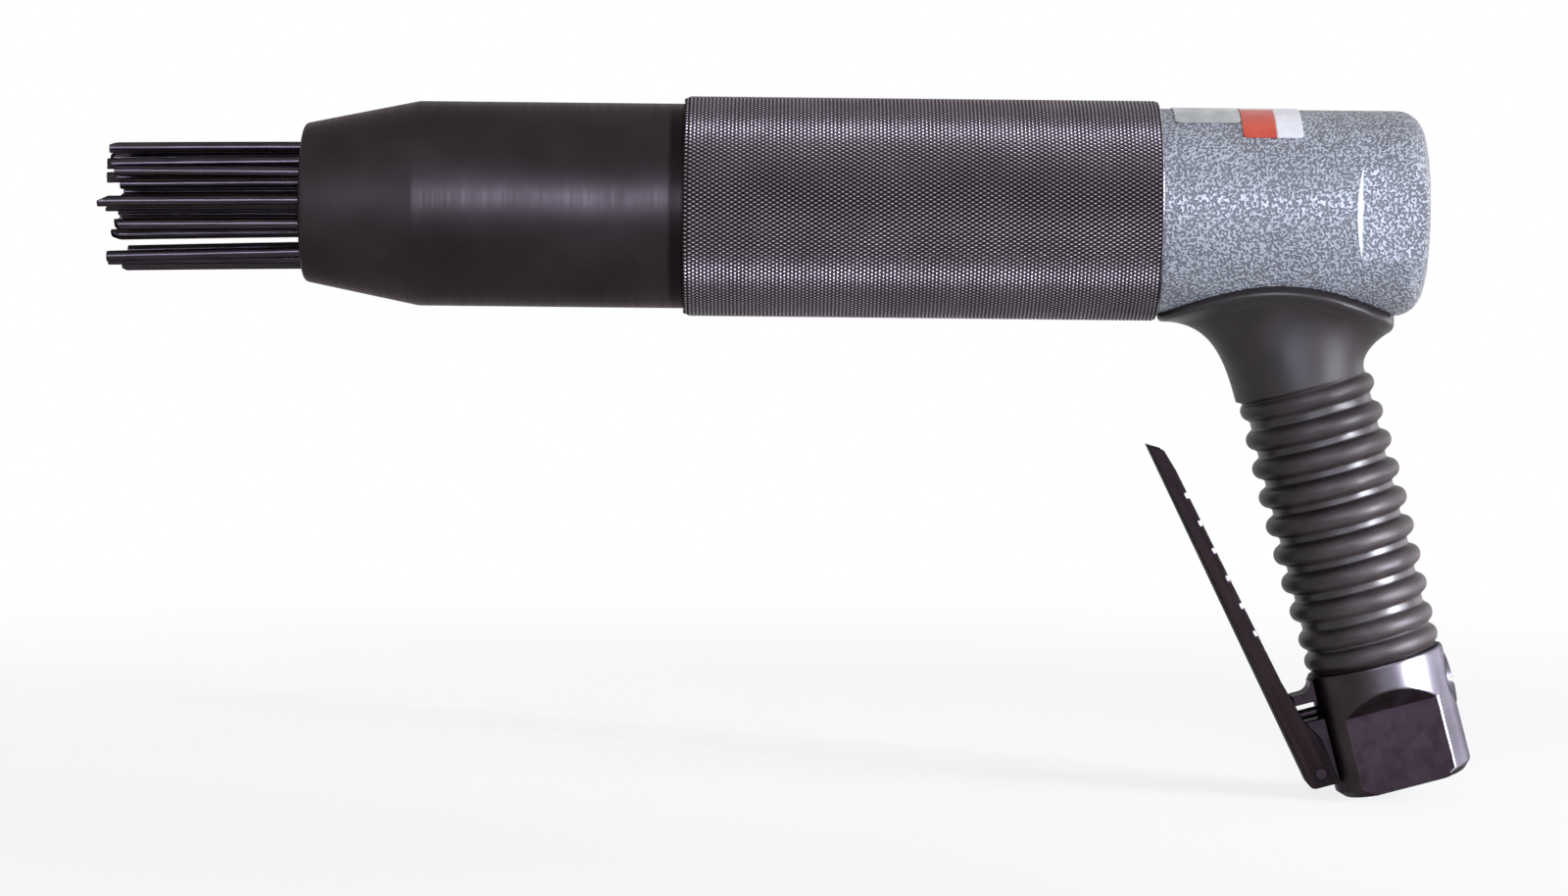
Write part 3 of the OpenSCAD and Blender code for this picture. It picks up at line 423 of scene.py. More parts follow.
def label_film():
    """Glossy two-colour label: a red field beside a white one, no print."""
    made, tree, place = skin("label_film")
    field = add(tree, "ShaderNodeAttribute", attribute_name="field").outputs["Fac"]
    wear = add(tree, "ShaderNodeTexNoise", {
        "Vector": place, "Scale": 1 / (5 * MM), "Detail": 5.0})
    red = add(tree, "ShaderNodeValToRGB", {"Fac": wear}, [(0.3, "#b03a27"), (0.7, "#c44a34")])
    white = add(tree, "ShaderNodeValToRGB", {"Fac": wear}, [(0.3, "#cfcbca"), (0.7, "#e2dfdd")])
    colour = add(tree, "ShaderNodeMix", {BY: field, FIRST: white, SECOND: red}, data_type="RGBA")
    shader = add(tree, "ShaderNodeBsdfPrincipled", {
        "Base Color": colour.outputs[MIXED], "Roughness": 0.34})
    add(tree, "ShaderNodeOutputMaterial", {"Surface": shader})
    return made


FINISH = {
    "hammertone": hammertone_enamel(),
    "black_steel": knurled_steel(),
    "browned_steel": browned_steel(),
    "grip_rubber": moulded_rubber(),
    "blued_steel": blued_steel(),
    "sheet_steel": pressed_sheet(),
    "needle_steel": needle_wire(),
    "bright_steel": metal("ground_steel", "#8d8f94", "#b4b6ba", 0.24, 4),
    "spring_steel": metal("spring_wire", "#5c5d62", "#7a7b80", 0.3, 3),
    "bronze": metal("machined_bronze", "#8f6a35", "#b88d4c", 0.28, 5),
    "seal_rubber": seal_rubber(),
    "plate_aluminium": metal("plate_aluminium", "#9ea0a4", "#b8babd", 0.36, 6),
    "label_film": label_film(),
}
EDGE, MILLED = worn_edge_steel(), milled_steel()
MILLED_NODES = ("lever_pin", "throttle_valve")

slots = {row["node"]: row["material_slot"] for row in frame["record"]["subparts"]}
bodies = {n: body for body, nodes in frame["record"]["behaviour"]["bodies"].items() for n in nodes}
for name, node in frame["nodes"].items():
    node.data.materials.clear()
    node.data.materials.append(MILLED if name in MILLED_NODES else FINISH[slots[name]])


def piece(name, points, faces, place, stands_for, attributes=None, sharp=None):
    """Object from points in millimetres in a frame, with the finish of the node it stands for."""
    mesh = bpy.data.meshes.new(name)
    mesh.from_pydata([place @ Vector((x * MM, y * MM, z * MM)) for x, y, z in points], [], faces)
    for key, values in (attributes or {}).items():
        shown = mesh.attributes.new(key, "FLOAT", "POINT")
        shown.data.foreach_set("value", np.asarray(values, np.float32))
    return dress(name, mesh, stands_for, sharp)


def dress(name, mesh, stands_for, sharp=None):
    """Smooths a mesh, but for edges past a sharp angle in degrees, and gives it a node's finish."""
    work = bmesh.new()
    work.from_mesh(mesh)
    bmesh.ops.recalc_face_normals(work, faces=work.faces)
    for face in work.faces:
        face.smooth = True
    if sharp is not None:
        for edge in work.edges:
            edge.smooth = not (edge.is_manifold and edge.calc_face_angle(0) > math.radians(sharp))
    work.to_mesh(mesh)
    work.free()
    mesh.materials.clear()
    mesh.materials.append(FINISH[slots[stands_for]])
    made = bpy.data.objects.new(name, mesh)
    scene.collection.objects.link(made)
    return made


def enlist(made, stands_for, body=None):
    """Puts a finished piece in the place of a CAD node, on its body or another, and hides the node.
    """
    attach(made, body or bodies[stands_for])
    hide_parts(stands_for)
    return made


def plain_copy(name):
    """Mesh of a CAD node with its loose triangles joined and its flat faces made whole."""
    join_within, flat_within = 0.001 * MM, math.radians(0.6)
    mesh = frame["nodes"][name].data.copy()
    if "custom_normal" in mesh.attributes:
        mesh.attributes.remove(mesh.attributes["custom_normal"])
    work = bmesh.new()
    work.from_mesh(mesh)
    bmesh.ops.remove_doubles(work, verts=work.verts, dist=join_within)
    bmesh.ops.dissolve_limit(work, angle_limit=flat_within, verts=work.verts, edges=work.edges)
    work.to_mesh(mesh)
    work.free()
    return mesh


def bake(made):
    """Replaces an object's mesh by its evaluated one and takes its modifiers off."""
    graph = bpy.context.evaluated_depsgraph_get()
    mesh = bpy.data.meshes.new_from_object(made.evaluated_get(graph), depsgraph=graph)
    made.modifiers.clear()
    made.data = mesh
    return made


def bevelled(name, node, width, sharp=28, bare=None):
    """CAD node with broken edges, which are bare steel where bare says so of a handle point."""
    made = dress(name, plain_copy(node), node, sharp)
    made.data.materials.append(EDGE)
    edge = made.modifiers.new("broken_edges", "BEVEL")
    edge.width = width * MM
    edge.segments = 2
    edge.limit_method = "ANGLE"
    edge.angle_limit = math.radians(sharp)
    edge.use_clamp_overlap = False
    edge.material = 1
    edge.harden_normals = True
    bake(made)
    for face in made.data.polygons:
        rear, side, high = HANDLE.inverted() @ face.center / MM
        if face.material_index == 1 and not (bare and bare(rear, side, high)):
            face.material_index = 0
    return enlist(made, node)


def filleted(corners, steps=6):
    """Closed profile from (radius, along, fillet) corners, each rounded by its fillet."""
    out = []
    count = len(corners)
    for i, (x, y, fillet) in enumerate(corners):
        here = np.array((x, y), float)
        before = np.array(corners[i - 1][:2], float) - here
        after = np.array(corners[(i + 1) % count][:2], float) - here
        before, after = before / np.linalg.norm(before), after / np.linalg.norm(after)
        if fillet <= 0:
            out.append(tuple(here))
            continue
        half = math.acos(max(-1.0, min(1.0, float(before @ after)))) / 2
        inward = (before + after) / np.linalg.norm(before + after)
        middle = here + inward * fillet / math.sin(half)
        first = here + before * fillet / math.tan(half) - middle
        last = here + after * fillet / math.tan(half) - middle
        a = math.atan2(first[1], first[0])
        turn = (math.atan2(last[1], last[0]) - a + math.pi) % (2 * math.pi) - math.pi
        for k in range(steps + 1):
            t = a + turn * k / steps
            out.append((middle[0] + fillet * math.cos(t), middle[1] + fillet * math.sin(t)))
    return out


def woven(rows, count, closed=True):
    """Faces between neighbouring loops of points, and from the last loop to the first if closed."""
    return [(k * count + s, k * count + (s + 1) % count,
             (k + 1) % rows * count + (s + 1) % count, (k + 1) % rows * count + s)
            for k in range(rows if closed else rows - 1) for s in range(count)]


def lathe(profile, steps):
    """Points and faces of a closed profile of (radius, along) turned about its frame's axis."""
    turns = [2 * math.pi * s / steps for s in range(steps)]
    points = [(r * math.cos(a), r * math.sin(a), z) for a in turns for r, z in profile]
    return points, woven(steps, len(profile))


# Front tube, turned, with a softened shoulder behind its nose
enlist(piece("tube_turned", *lathe(filleted([
    (NOSE_BORE_R, 0, 0.5), (NOSE_R, 0, 1.8), (BARREL_R, NOSE_TAPER, 9.0),
    (BARREL_R, TUBE_SEAT_END, 0.3), (TUBE_BORE_R, TUBE_SEAT_END, 0.3),
    (TUBE_BORE_R, NOSE_BORE_LEN, 0.6), (NOSE_BORE_R, NOSE_BORE_LEN, 0.6),
]), steps=192), BARREL, "front_tube", sharp=40), "front_tube")


def knurl_tree():
    """Geometry Nodes: a ring of small pyramids, repeated along, every second ring turned."""
    tree = bpy.data.node_groups.new("diamond_knurl", "GeometryNodeTree")
    for name, kind in (
        ("Core", "Geometry"), ("Valley Radius", "Float"), ("Depth", "Float"), ("Length", "Float"),
        ("Start", "Float"), ("End Radius", "Float"), ("End Share", "Float"),
        ("Half Along", "Float"), ("Half Around", "Float"), ("Half Turn", "Float"),
        ("Around", "Int"), ("Rows", "Int"), ("Place", "Vector"), ("Finish", "Material"),
    ):
        tree.interface.new_socket(name, in_out="INPUT", socket_type="NodeSocket" + kind)
    tree.interface.new_socket("Geometry", in_out="OUTPUT", socket_type="NodeSocketGeometry")
    given = add(tree, "NodeGroupInput").outputs
    spot = add(tree, "GeometryNodeInputPosition")
    lying = (0, math.pi / 2, 0)

    # One pyramid, lying on its side with its peak outward, wide enough to run into its neighbours
    cone = add(tree, "GeometryNodeMeshCone", {
        "Vertices": 6, "Side Segments": 1, "Radius Top": 0.0, "Radius Bottom": 1.1, "Depth": 1.0,
    }, fill_type="NONE")
    height = add(tree, "ShaderNodeSeparateXYZ", {0: spot}).outputs[2]
    cone = add(tree, "GeometryNodeStoreNamedAttribute", {
        "Geometry": cone, "Name": "peak", "Value": height}, data_type="FLOAT", domain="POINT")
    size = add(tree, "ShaderNodeCombineXYZ", {
        0: given["Half Along"], 1: given["Half Around"], 2: given["Depth"]})
    cone = add(tree, "GeometryNodeTransform", {
        "Geometry": cone, "Rotation": lying, "Scale": size})

    # A ring of them, and the rings along the barrel, smaller toward the rounded ends
    circle = add(tree, "GeometryNodeMeshCircle", {
        "Vertices": given["Around"], "Radius": given["Valley Radius"]})
    outward = add(tree, "FunctionNodeAlignRotationToVector", {"Vector": spot},
                  axis="X", pivot_axis="Z")
    ring = add(tree, "GeometryNodeInstanceOnPoints", {
        "Points": circle, "Instance": cone, "Rotation": outward})
    index = add(tree, "GeometryNodeInputIndex")
    turn = add(tree, "ShaderNodeMath", {0: index, 1: 2.0}, operation="MODULO")
    turn = add(tree, "ShaderNodeMath", {0: turn, 1: given["Half Turn"]}, operation="MULTIPLY")
    along = add(tree, "ShaderNodeMath", {0: index, 1: given["Half Along"], 2: given["Start"]},
                operation="MULTIPLY_ADD")
    rest = add(tree, "ShaderNodeMath", {0: given["Length"], 1: along}, operation="SUBTRACT")
    scale = add(tree, "ShaderNodeMath", {0: along, 1: rest}, operation="MINIMUM")
    for operation, value in (
        ("DIVIDE", given["End Radius"]), ("MINIMUM", 1.0), ("SUBTRACT", 1.0), ("POWER", 2.0),
        ("MULTIPLY", -1.0), ("ADD", 1.0), ("SQRT", 0.0), ("SUBTRACT", 1.0),
        ("MULTIPLY", given["End Share"]), ("ADD", 1.0),
    ):
        scale = add(tree, "ShaderNodeMath", {0: scale, 1: value}, operation=operation)
    line = add(tree, "GeometryNodeMeshLine", {
        "Count": given["Rows"],
        "Start Location": add(tree, "ShaderNodeCombineXYZ", {2: given["Start"]}),
        "Offset": add(tree, "ShaderNodeCombineXYZ", {2: given["Half Along"]}),
    })
    rings = add(tree, "GeometryNodeInstanceOnPoints", {
        "Points": line, "Instance": ring,
        "Rotation": add(tree, "ShaderNodeCombineXYZ", {2: turn}),
        "Scale": add(tree, "ShaderNodeCombineXYZ", {0: scale, 1: scale, 2: 1.0}),
    })
    placed = add(tree, "GeometryNodeTransform", {
        "Geometry": rings, "Translation": given["Place"], "Rotation": lying})
    solid = add(tree, "GeometryNodeRealizeInstances", {0: placed})
    solid = add(tree, "GeometryNodeSetMaterial", {"Geometry": solid, "Material": given["Finish"]})
    both = add(tree, "GeometryNodeJoinGeometry")
    tree.links.new(solid.outputs[0], both.inputs[0])
    tree.links.new(given["Core"], both.inputs[0])
    add(tree, "NodeGroupOutput", {0: both})
    return tree


# Knurled lock sleeve: a plain core with a bare ring at its rear end, and the knurl over it
KNURL_DEPTH, KNURL_PITCH, KNURL_AROUND, KNURL_START = 0.52, 2.08, 152, 0.7
CORE_ROUND, BARE_RING = 1.5, 0.7
valley = SLEEVE_R - KNURL_DEPTH
under = valley + SNUG
sleeve = piece("sleeve_knurled", *lathe(filleted([
    (BARREL_R + SEAT_GAP, SLEEVE_FROM, 0), (under, SLEEVE_FROM, CORE_ROUND),
    (under, SLEEVE_TO, CORE_ROUND), (SLEEVE_BORE_R, SLEEVE_TO, 0), (SLEEVE_BORE_R, SLEEVE_STEP, 0),
    (TUBE_BORE_R, SLEEVE_STEP, 0), (TUBE_BORE_R, TUBE_SEAT_END, 0),
    (BARREL_R + SEAT_GAP, TUBE_SEAT_END, 0),
]), steps=96), BARREL, "lock_sleeve", sharp=40)
sleeve.data.materials.append(EDGE)
for face in sleeve.data.polygons:
    if face.center.x / MM > NOSE_X + SLEEVE_TO - BARE_RING:
        face.material_index = 1
tree = knurl_tree()
knurl = sleeve.modifiers.new("knurl", "NODES")
knurl.node_group = tree
length = SLEEVE_TO - SLEEVE_FROM
wanted = {
    "Valley Radius": valley * MM, "Depth": KNURL_DEPTH * MM,
    "Length": length * MM, "Start": KNURL_START * MM,
    "End Radius": SLEEVE_EDGE * MM, "End Share": SLEEVE_EDGE / valley,
    "Half Along": KNURL_PITCH / 2 * MM, "Half Around": math.pi * valley / KNURL_AROUND * MM,
    "Half Turn": math.pi / KNURL_AROUND, "Around": KNURL_AROUND,
    "Rows": int((length - 2 * KNURL_START) / (KNURL_PITCH / 2)) + 1,
    "Place": ((NOSE_X + SLEEVE_FROM) * MM, 0.0, AXIS_Z * MM), "Finish": FINISH["black_steel"],
}
for item in tree.interface.items_tree:
    if item.in_out == "INPUT" and item.name in wanted:
        knurl[item.identifier] = wanted[item.name]
enlist(bake(sleeve), "lock_sleeve")


def handle_point(turn, radius, height, lead=0.0):
    """Row point, in millimetres, of a place round the handle, set forward by a lead."""
    side = np.array((0, radius * math.sin(turn), 0))
    return (radius * math.cos(turn) - lead) * REAR + side + height * UP


def saddle_point(turn, radius):
    """Row point on the saddle's outline under the housing."""
    lean = math.asin(SADDLE_SIDE * math.sin(turn) / BARREL_R)
    middle, half = (SADDLE_REAR - SADDLE_FRONT) / 2, (SADDLE_REAR + SADDLE_FRONT) / 2
    along = middle + half * math.cos(turn) - HANDLE_LEN * math.sin(TILT)
    return np.array((along, radius * math.sin(lean), AXIS_Z - radius * math.cos(lean)))


def saddle_tangent(turn):
    """Direction in which the flare leaves the handle at the saddle's outline."""
    lean = math.asin(SADDLE_SIDE * math.sin(turn) / BARREL_R)
    rise = abs(math.sin(turn) * math.sin(lean)) + FLARE_RISE * max(0.0, math.cos(turn)) ** 2
    return np.array((math.cos(turn), math.sin(turn) * math.cos(lean), rise))


def grip_profile():
    """Rings up the ribs: radius, height, how far on a rib, how much painted shade lies just above
    it.
    """
    ring_step, crease_shade_width, soft_rings, rib_rise, collar_inset = 0.16, 0.55, 7, 1.2, 0.3
    ribs = [(INLET_R - collar_inset, COLLAR_R, INLET_LEN + COLLAR_UP)]
    middle = (RIBS - 1) / 2
    for i in range(RIBS):
        crest = GRIP_R + RIB_R - RIB_BULGE * ((i - middle) / middle) ** 2
        ribs.append((crest, RIB_R, INLET_LEN + RIB_FIRST + i * RIB_PITCH))
    top = ribs[-1][2] + NECK_UP
    heights = np.arange(INLET_LEN + SEAT_GAP, top, ring_step)
    radii = np.full(len(heights), GRIP_R)
    crease_shade = np.zeros(len(heights))
    for crest, section, at in ribs:
        off = np.minimum(np.abs(heights - at), section)
        radii = np.maximum(radii, crest - section + np.sqrt(section ** 2 - off ** 2))
        reach = math.sqrt(max(0.0, section ** 2 - (GRIP_R - crest + section) ** 2))
        crease_shade = np.maximum(crease_shade, 1 - np.abs(heights - at - reach) / crease_shade_width)
    padded = np.pad(radii, soft_rings // 2, mode="edge")
    soft = np.convolve(padded, np.ones(soft_rings) / soft_rings, mode="valid")
    share = np.clip((soft - GRIP_R) / rib_rise, 0, 1)
    return list(zip(soft, heights, share, np.clip(crease_shade, 0, 1))), top


def rubber_grip():
    """Ribbed grip and the flare that saddles the housing, as one skin closed on the inside."""
    steps, flare_steps, lip_steps = 128, 32, 6
    neck_ease, inner_top = 1.6, 140.0
    matt_from, matt_rings = 0.3, 28
    turns = [2 * math.pi * s / steps for s in range(steps)]
    profile, top = grip_profile()

    # Ribs, from the inlet body up, eased into the neck
    rings = [[handle_point(a, CORE_R + SEAT_GAP, INLET_LEN + SEAT_GAP) for a in turns]]
    matt, dark = [True], [0.0]
    for radius, height, rib, crease_shade in profile:
        ease = max(0.0, (height - (top - neck_ease)) / neck_ease)
        ease = ease * ease * (3 - 2 * ease)
        radius += (NECK_R - radius) * ease
        rings.append([handle_point(a, radius, height, NECK_LEAD * ease) for a in turns])
        matt.append(max(rib, ease) >= matt_from)
        dark.append(crease_shade * (1 - ease))

    # Flare, a curve from the neck to the saddle's outline, then its rounded lip
    edges = {}
    for turn in turns:
        radius = BARREL_R + SADDLE_LIP + LIP_LEAD * math.cos(turn)
        edge = saddle_point(turn, radius)
        edges[turn] = edge, edge - saddle_point(turn, radius - 1)
    for k in range(flare_steps + 1):
        t = k / flare_steps
        ring = []
        for turn in turns:
            pull = FLARE_PULL - FLARE_LEAD * math.cos(turn)
            a = handle_point(turn, NECK_R, top, NECK_LEAD)
            d = edges[turn][0] - LIP_ROUND * saddle_tangent(turn)
            b = a + pull * UP
            c = d - (pull - LIP_ROUND) * saddle_tangent(turn)
            ring.append((1 - t) ** 3 * a + 3 * (1 - t) ** 2 * t * b
                        + 3 * (1 - t) * t * t * c + t ** 3 * d)
        rings.append(ring)
    for k in range(1, lip_steps + 1):
        bend = math.pi / 2 * k / lip_steps
        ring = []
        for turn in turns:
            edge, outward = edges[turn]
            ahead = saddle_tangent(turn)
            middle = edge - LIP_ROUND * ahead - LIP_ROUND * outward
            ring.append(middle + LIP_ROUND * (math.sin(bend) * ahead + math.cos(bend) * outward))
        rings.append(ring)

    # Inside, on the housing and down the handle's core
    rings.append([saddle_point(turn, BARREL_R + SNUG) for turn in turns])
    rings.append([handle_point(turn, CORE_R + SEAT_GAP, inner_top) for turn in turns])
    matt += [True] * matt_rings
    matt += [False] * (len(rings) - len(matt))
    dark += [0.0] * (len(rings) - len(dark))
    points = [tuple(p) for ring in rings for p in ring]
    # Painted shade just above each rib, read by the rubber's colour
    shown = {"crease_shade": np.repeat(dark, steps)}
    faces = woven(len(rings), steps)
    made = piece("grip_ribbed", points, faces, ROW, "grip_sleeve", shown, sharp=60)
    made.data.materials.append(wiped_rubber())
    for face in made.data.polygons:
        if not any(matt[v // steps] for v in face.vertices):
            face.material_index = 1
    return made


enlist(rubber_grip(), "grip_sleeve")

# Cast housing: the solid with its faces smoothed, and a painted highlight where its side flats run
# out
RUNOUT_SIDE, RUNOUT_TO, RUNOUT_FACING = 24, -17, 0.6
housing = enlist(dress("housing_cast", plain_copy("housing"), "housing", sharp=20), "housing")
housing.data.materials.append(runout_highlight_paint())
# Rear-facing faces of the run-out get the pale painted highlight
for face in housing.data.polygons:
    at = face.center / MM
    if face.normal.x > RUNOUT_FACING and abs(at.y) > RUNOUT_SIDE and at.x < RUNOUT_TO:
        face.material_index = 1


def palm_worn(rear, side, high):
    """Whether a handle point lies on the rear edges of the wrench flats, which the hand wears."""
    edge_from, edge_to, flat_side, flat_top = 11.5, 15, 12, 23
    return edge_from < rear < edge_to and abs(side) > flat_side and high < flat_top


# Inlet body, lever and plug: the solids with their edges broken; what is not turned is milled
TURNED_WITHIN = 0.6
inlet = bevelled("inlet_machined", "inlet_body", width=0.35, bare=palm_worn)
inlet.data.materials.append(MILLED)
for face in inlet.data.polygons:
    rear, side, high = HANDLE.inverted() @ face.center / MM
    if face.material_index == 0 and abs(math.hypot(rear, side) - INLET_R) > TURNED_WITHIN:
        face.material_index = 2
bevelled("lever_pressed", "throttle_lever", width=0.3)
bevelled("plug_turned", "valve_plug", width=0.25)


def needle(name, shift):
    """Worn needle: round wire with a bevelled tip, drooping a little ahead of its holder."""
    steps, droop, tip_share, tip_round = 16, 0.8, 0.86, 0.15
    low, high = (np.array(c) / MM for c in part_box(name))
    number = int(name[-2:])
    tip, end = low[0], high[0]
    y0, z0 = (low[1] + high[1]) / 2, (low[2] + high[2]) / 2
    holder = end - HOLDER_LEN

    # Each needle's own bevel: its turn, length and depth
    bevel_turn = math.radians(137.5 * number)
    bevel_len = 2.2 + 0.9 * math.sin(2.1 * number)
    bevel_depth = 1.5 + 0.5 * math.sin(1.3 * number)
    places = [tip, tip + tip_round] + [tip + bevel_len * k / 4 for k in (1, 2, 3, 4)]
    places += list(np.linspace(tip + bevel_len + 1, holder, 16)) + [end - HEAD_LEN]
    turns = [2 * math.pi * s / steps for s in range(steps)]
    rings = []
    for x in places:
        f = max(0.0, (holder - x) / (holder - NOSE_X))
        ease = f * f if f < 1 else 1 + 0.9 * (f - 1)
        dy, dz = shift[0] * ease, shift[1] * ease - droop * f * f
        size = NEEDLE_R * (tip_share if x == tip else 1.0)
        limit = NEEDLE_R - bevel_depth * max(0.0, 1 - (x - tip) / bevel_len)
        ring = []
        for a in turns:
            across = min(size * math.cos(a - bevel_turn), limit)
            aside = size * math.sin(a - bevel_turn)
            ring.append((
                x, y0 + dy + across * math.cos(bevel_turn) - aside * math.sin(bevel_turn),
                z0 + dz + across * math.sin(bevel_turn) + aside * math.cos(bevel_turn)))
        rings.append(ring)
    for x in (end - HEAD_LEN, end):
        rings.append([(x, y0 + HEAD_R * math.cos(a), z0 + HEAD_R * math.sin(a)) for a in turns])
    points = [p for ring in rings for p in ring]
    faces = woven(len(rings), steps, closed=False)
    faces += [tuple(range(steps)), tuple(range(len(points) - steps, len(points)))]
    return enlist(piece(name + "_worn", points, faces, ROW, name, sharp=24), name)


# Sideways and upward lean of each loose needle at the nose, in millimetres
LEAN = {
    2: (0.0, 0.9), 7: (0.0, -0.8), 8: (0.0, 1.2), 10: (-1.0, -1.5), 11: (0.0, 0.6),
    16: (0.3, 0.5), 17: (0.0, -0.6), 18: (0.0, 1.6), 20: (0.0, 0.4), 21: (0.9, -1.8),
}
for number in range(1, NEEDLES + 1):
    needle(f"needle_{number:02d}", LEAN.get(number, (0.0, 0.25 * math.sin(2.4 * number))))


def bent_patch(name, stands_for, first, last, half_deg, field):
    """Thin sheet bent to the housing's top, with round corners; field says what is coloured."""
    corner, thick = 1.2, 0.3
    radius = BARREL_R + SEAT_GAP
    across, along = 40, 24
    half_s, half_x = math.radians(half_deg) * radius, (last - first) / 2
    points, values = [], []
    for layer in (0.0, thick):
        for j in range(across + 1):
            for i in range(along + 1):
                u, v = -1 + 2 * i / along, -1 + 2 * j / across
                x, s = u * half_x, v * half_s
                inset_x, inset_s = abs(x) - (half_x - corner), abs(s) - (half_s - corner)
                if inset_x > 0 and inset_s > 0:
                    shrink = max(inset_x, inset_s)
                    norm = math.hypot(inset_x, inset_s)
                    x = math.copysign(half_x - corner + inset_x * shrink / norm, x)
                    s = math.copysign(half_s - corner + inset_s * shrink / norm, s)
                a = s / radius
                r = radius + layer
                middle = (first + last) / 2
                points.append((NOSE_X + middle + x, r * math.sin(a), AXIS_Z + r * math.cos(a)))
                values.append(field(middle + x - first, abs(s)))
    n = along + 1
    size = n * (across + 1)
    faces = []
    for layer in (0, size):
        faces += [(at, at + 1, at + n + 1, at + n)
                  for j in range(across) for at in range(layer + j * n, layer + j * n + along)]
    rim = list(range(n)) + [j * n + along for j in range(1, across + 1)]
    rim += [across * n + i for i in range(along - 1, -1, -1)]
    rim += [j * n for j in range(across - 1, 0, -1)]
    faces += [(a, b, b + size, a + size) for a, b in zip(rim, rim[1:] + rim[:1])]
    shown = {"field": values}
    return enlist(piece(name, points, faces, ROW, stands_for, shown, sharp=40), stands_for)


# Blank plate, and the label with a red field on the sides of its front part
RED_LEN, RED_FROM = 9.6, 5.0
bent_patch("plate_blank", "rating_plate", SLEEVE_TO + 3.4, SLEEVE_TO + 21.4, half_deg=32,
           field=lambda x, s: 0.0)
bent_patch("label_two_colour", "colour_label", SLEEVE_TO + 21.7, SLEEVE_TO + 38.2, half_deg=44.5,
           field=lambda x, s: 1.0 if x < RED_LEN and s > RED_FROM else 0.0)


def spring(name, node, body, press, reach=(-math.inf, math.inf)):
    """Coil, or what lies in a reach of it along its press, that shortens by a joint's travel."""
    mesh = plain_copy(node)
    work = bmesh.new()
    work.from_mesh(mesh)
    for limit, side in zip(reach, (-1, 1)):
        if math.isfinite(limit):
            cut = bmesh.ops.bisect_plane(
                work, geom=work.verts[:] + work.edges[:] + work.faces[:],
                plane_co=press * limit * MM, plane_no=press * side, clear_outer=True)["geom_cut"]
            bmesh.ops.holes_fill(work, edges=[e for e in cut if isinstance(e, bmesh.types.BMEdge)])
    work.to_mesh(mesh)
    work.free()
    made = enlist(dress(name, mesh, node, sharp=40), node, body)
    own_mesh(made)


# Springs: the return spring's rear half goes with the anvil and yields to the holder, its front
# half yields to the anvil
halfway = sum(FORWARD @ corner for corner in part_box("return_spring")) / 2 / MM
spring("valve_spring_coil", "valve_spring", "frame", Vector(REAR))
spring("return_spring_front", "return_spring", "frame", FORWARD,
       (halfway + SEAT_GAP, math.inf))
spring("return_spring_rear", "return_spring", "anvil", FORWARD,
       (-math.inf, halfway - SEAT_GAP))


def shown_rays(tree):
    """Node that gives 1 for rays that show a surface, straight, mirrored or through glass."""
    ray = add(tree, "ShaderNodeLightPath").outputs
    shown = ray["Is Camera Ray"]
    for kind in ("Is Glossy Ray", "Is Transmission Ray"):
        shown = add(tree, "ShaderNodeMath", {0: shown, 1: ray[kind]}, operation="MAXIMUM")
    return shown


# Pale floor under the object, which fades to the white of the room and keeps the shadow
FLOOR_HALF, FLOOR_GAP = 30.0, 0.2 * MM
floor_z = min(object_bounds()[0].z, cad_low.z) - FLOOR_GAP
mesh = bpy.data.meshes.new("floor")
corners = [(x * FLOOR_HALF, y * FLOOR_HALF, floor_z)
           for x, y in ((-1, -1), (1, -1), (1, 1), (-1, 1))]
mesh.from_pydata(corners, [], [(0, 1, 2, 3)])
floor = bpy.data.objects.new("floor", mesh)
scene.collection.objects.link(floor)
pale, tree, spot = skin("pale_floor")
far = add(tree, "ShaderNodeVectorMath", {0: spot, 1: (-0.15, 0.0, floor_z)}, operation="DISTANCE")
fade = add(tree, "ShaderNodeMapRange", {
    "Value": far.outputs["Value"], "From Min": 0.15, "From Max": 0.75,
    "To Min": 0.8, "To Max": 1.0}, interpolation_type="SMOOTHSTEP")
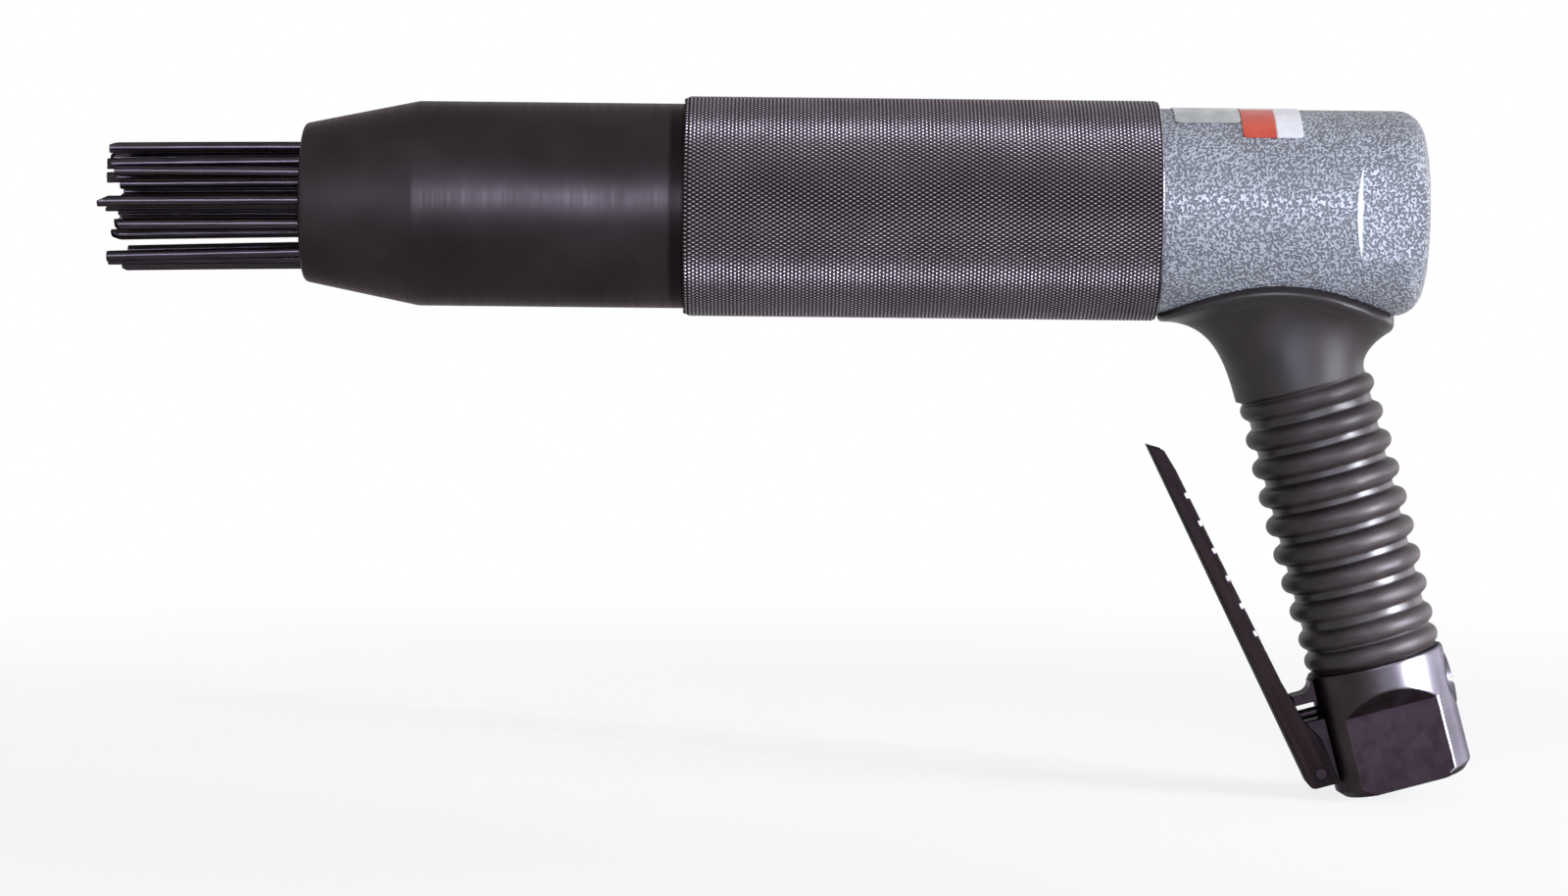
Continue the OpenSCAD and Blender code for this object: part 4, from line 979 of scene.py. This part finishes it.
share = add(tree, "ShaderNodeMath", {0: shown_rays(tree), 1: fade}, operation="MULTIPLY")
matt = add(tree, "ShaderNodeBsdfDiffuse", {"Color": linear("#f6f6f6")})
glow = add(tree, "ShaderNodeEmission", {"Color": (1, 1, 1, 1), "Strength": 1.0})
both = add(tree, "ShaderNodeMixShader", {0: share, 1: matt, 2: glow})
add(tree, "ShaderNodeOutputMaterial", {"Surface": both})
floor.data.materials.append(pale)

# White room: white where it is seen or mirrored, a plain soft level as light
world = bpy.data.worlds.new("white_room")
scene.world = world
world.use_nodes = True
tree = world.node_tree
tree.nodes.clear()
level = add(tree, "ShaderNodeMapRange", {
    "Value": shown_rays(tree), "To Min": 0.2, "To Max": 1.0})
sky = add(tree, "ShaderNodeBackground", {"Color": (1, 1, 1, 1), "Strength": level})
add(tree, "ShaderNodeOutputWorld", {"Surface": sky})


def lamp(name, place, aim, size, watts, colour, spread=180):
    """Soft lamp that looks at a point, with a grid that keeps its light to a spread in degrees."""
    data = bpy.data.lights.new(name, "AREA")
    data.shape = "RECTANGLE"
    data.size, data.size_y = size
    data.energy = watts
    data.spread = math.radians(spread)
    data.color = linear(colour)[:3]
    made = bpy.data.objects.new(name, data)
    scene.collection.objects.link(made)
    made.location = place
    made.rotation_mode = "QUATERNION"
    made.rotation_quaternion = (Vector(aim) - Vector(place)).to_track_quat("-Z", "Y")


MIDDLE = (-0.15, 0.0, 0.1)
lamp("window", (1.14, -0.52, 0.52), MIDDLE, (0.6, 0.6), 21, "#f1f3ff")
lamp("rim", (1.08, 0.73, 0.28), MIDDLE, (0.6, 0.6), 3.2, "#f4f4ff")
lamp("strip", (-0.25, -1.45, 0.36), (-0.23, 0.0, 0.17), (1.2, 0.3), 1.85, "#dce5ff", 36)
lamp("side", (0.9, -0.62, 0.1), (-0.03, 0.0, 0.05), (0.3, 0.06), 0.42, "#eef1ff", 8)
lamp("fill", (-1.2, -0.7, 0.5), MIDDLE, (0.8, 0.8), 0.7, "#fff4ea")
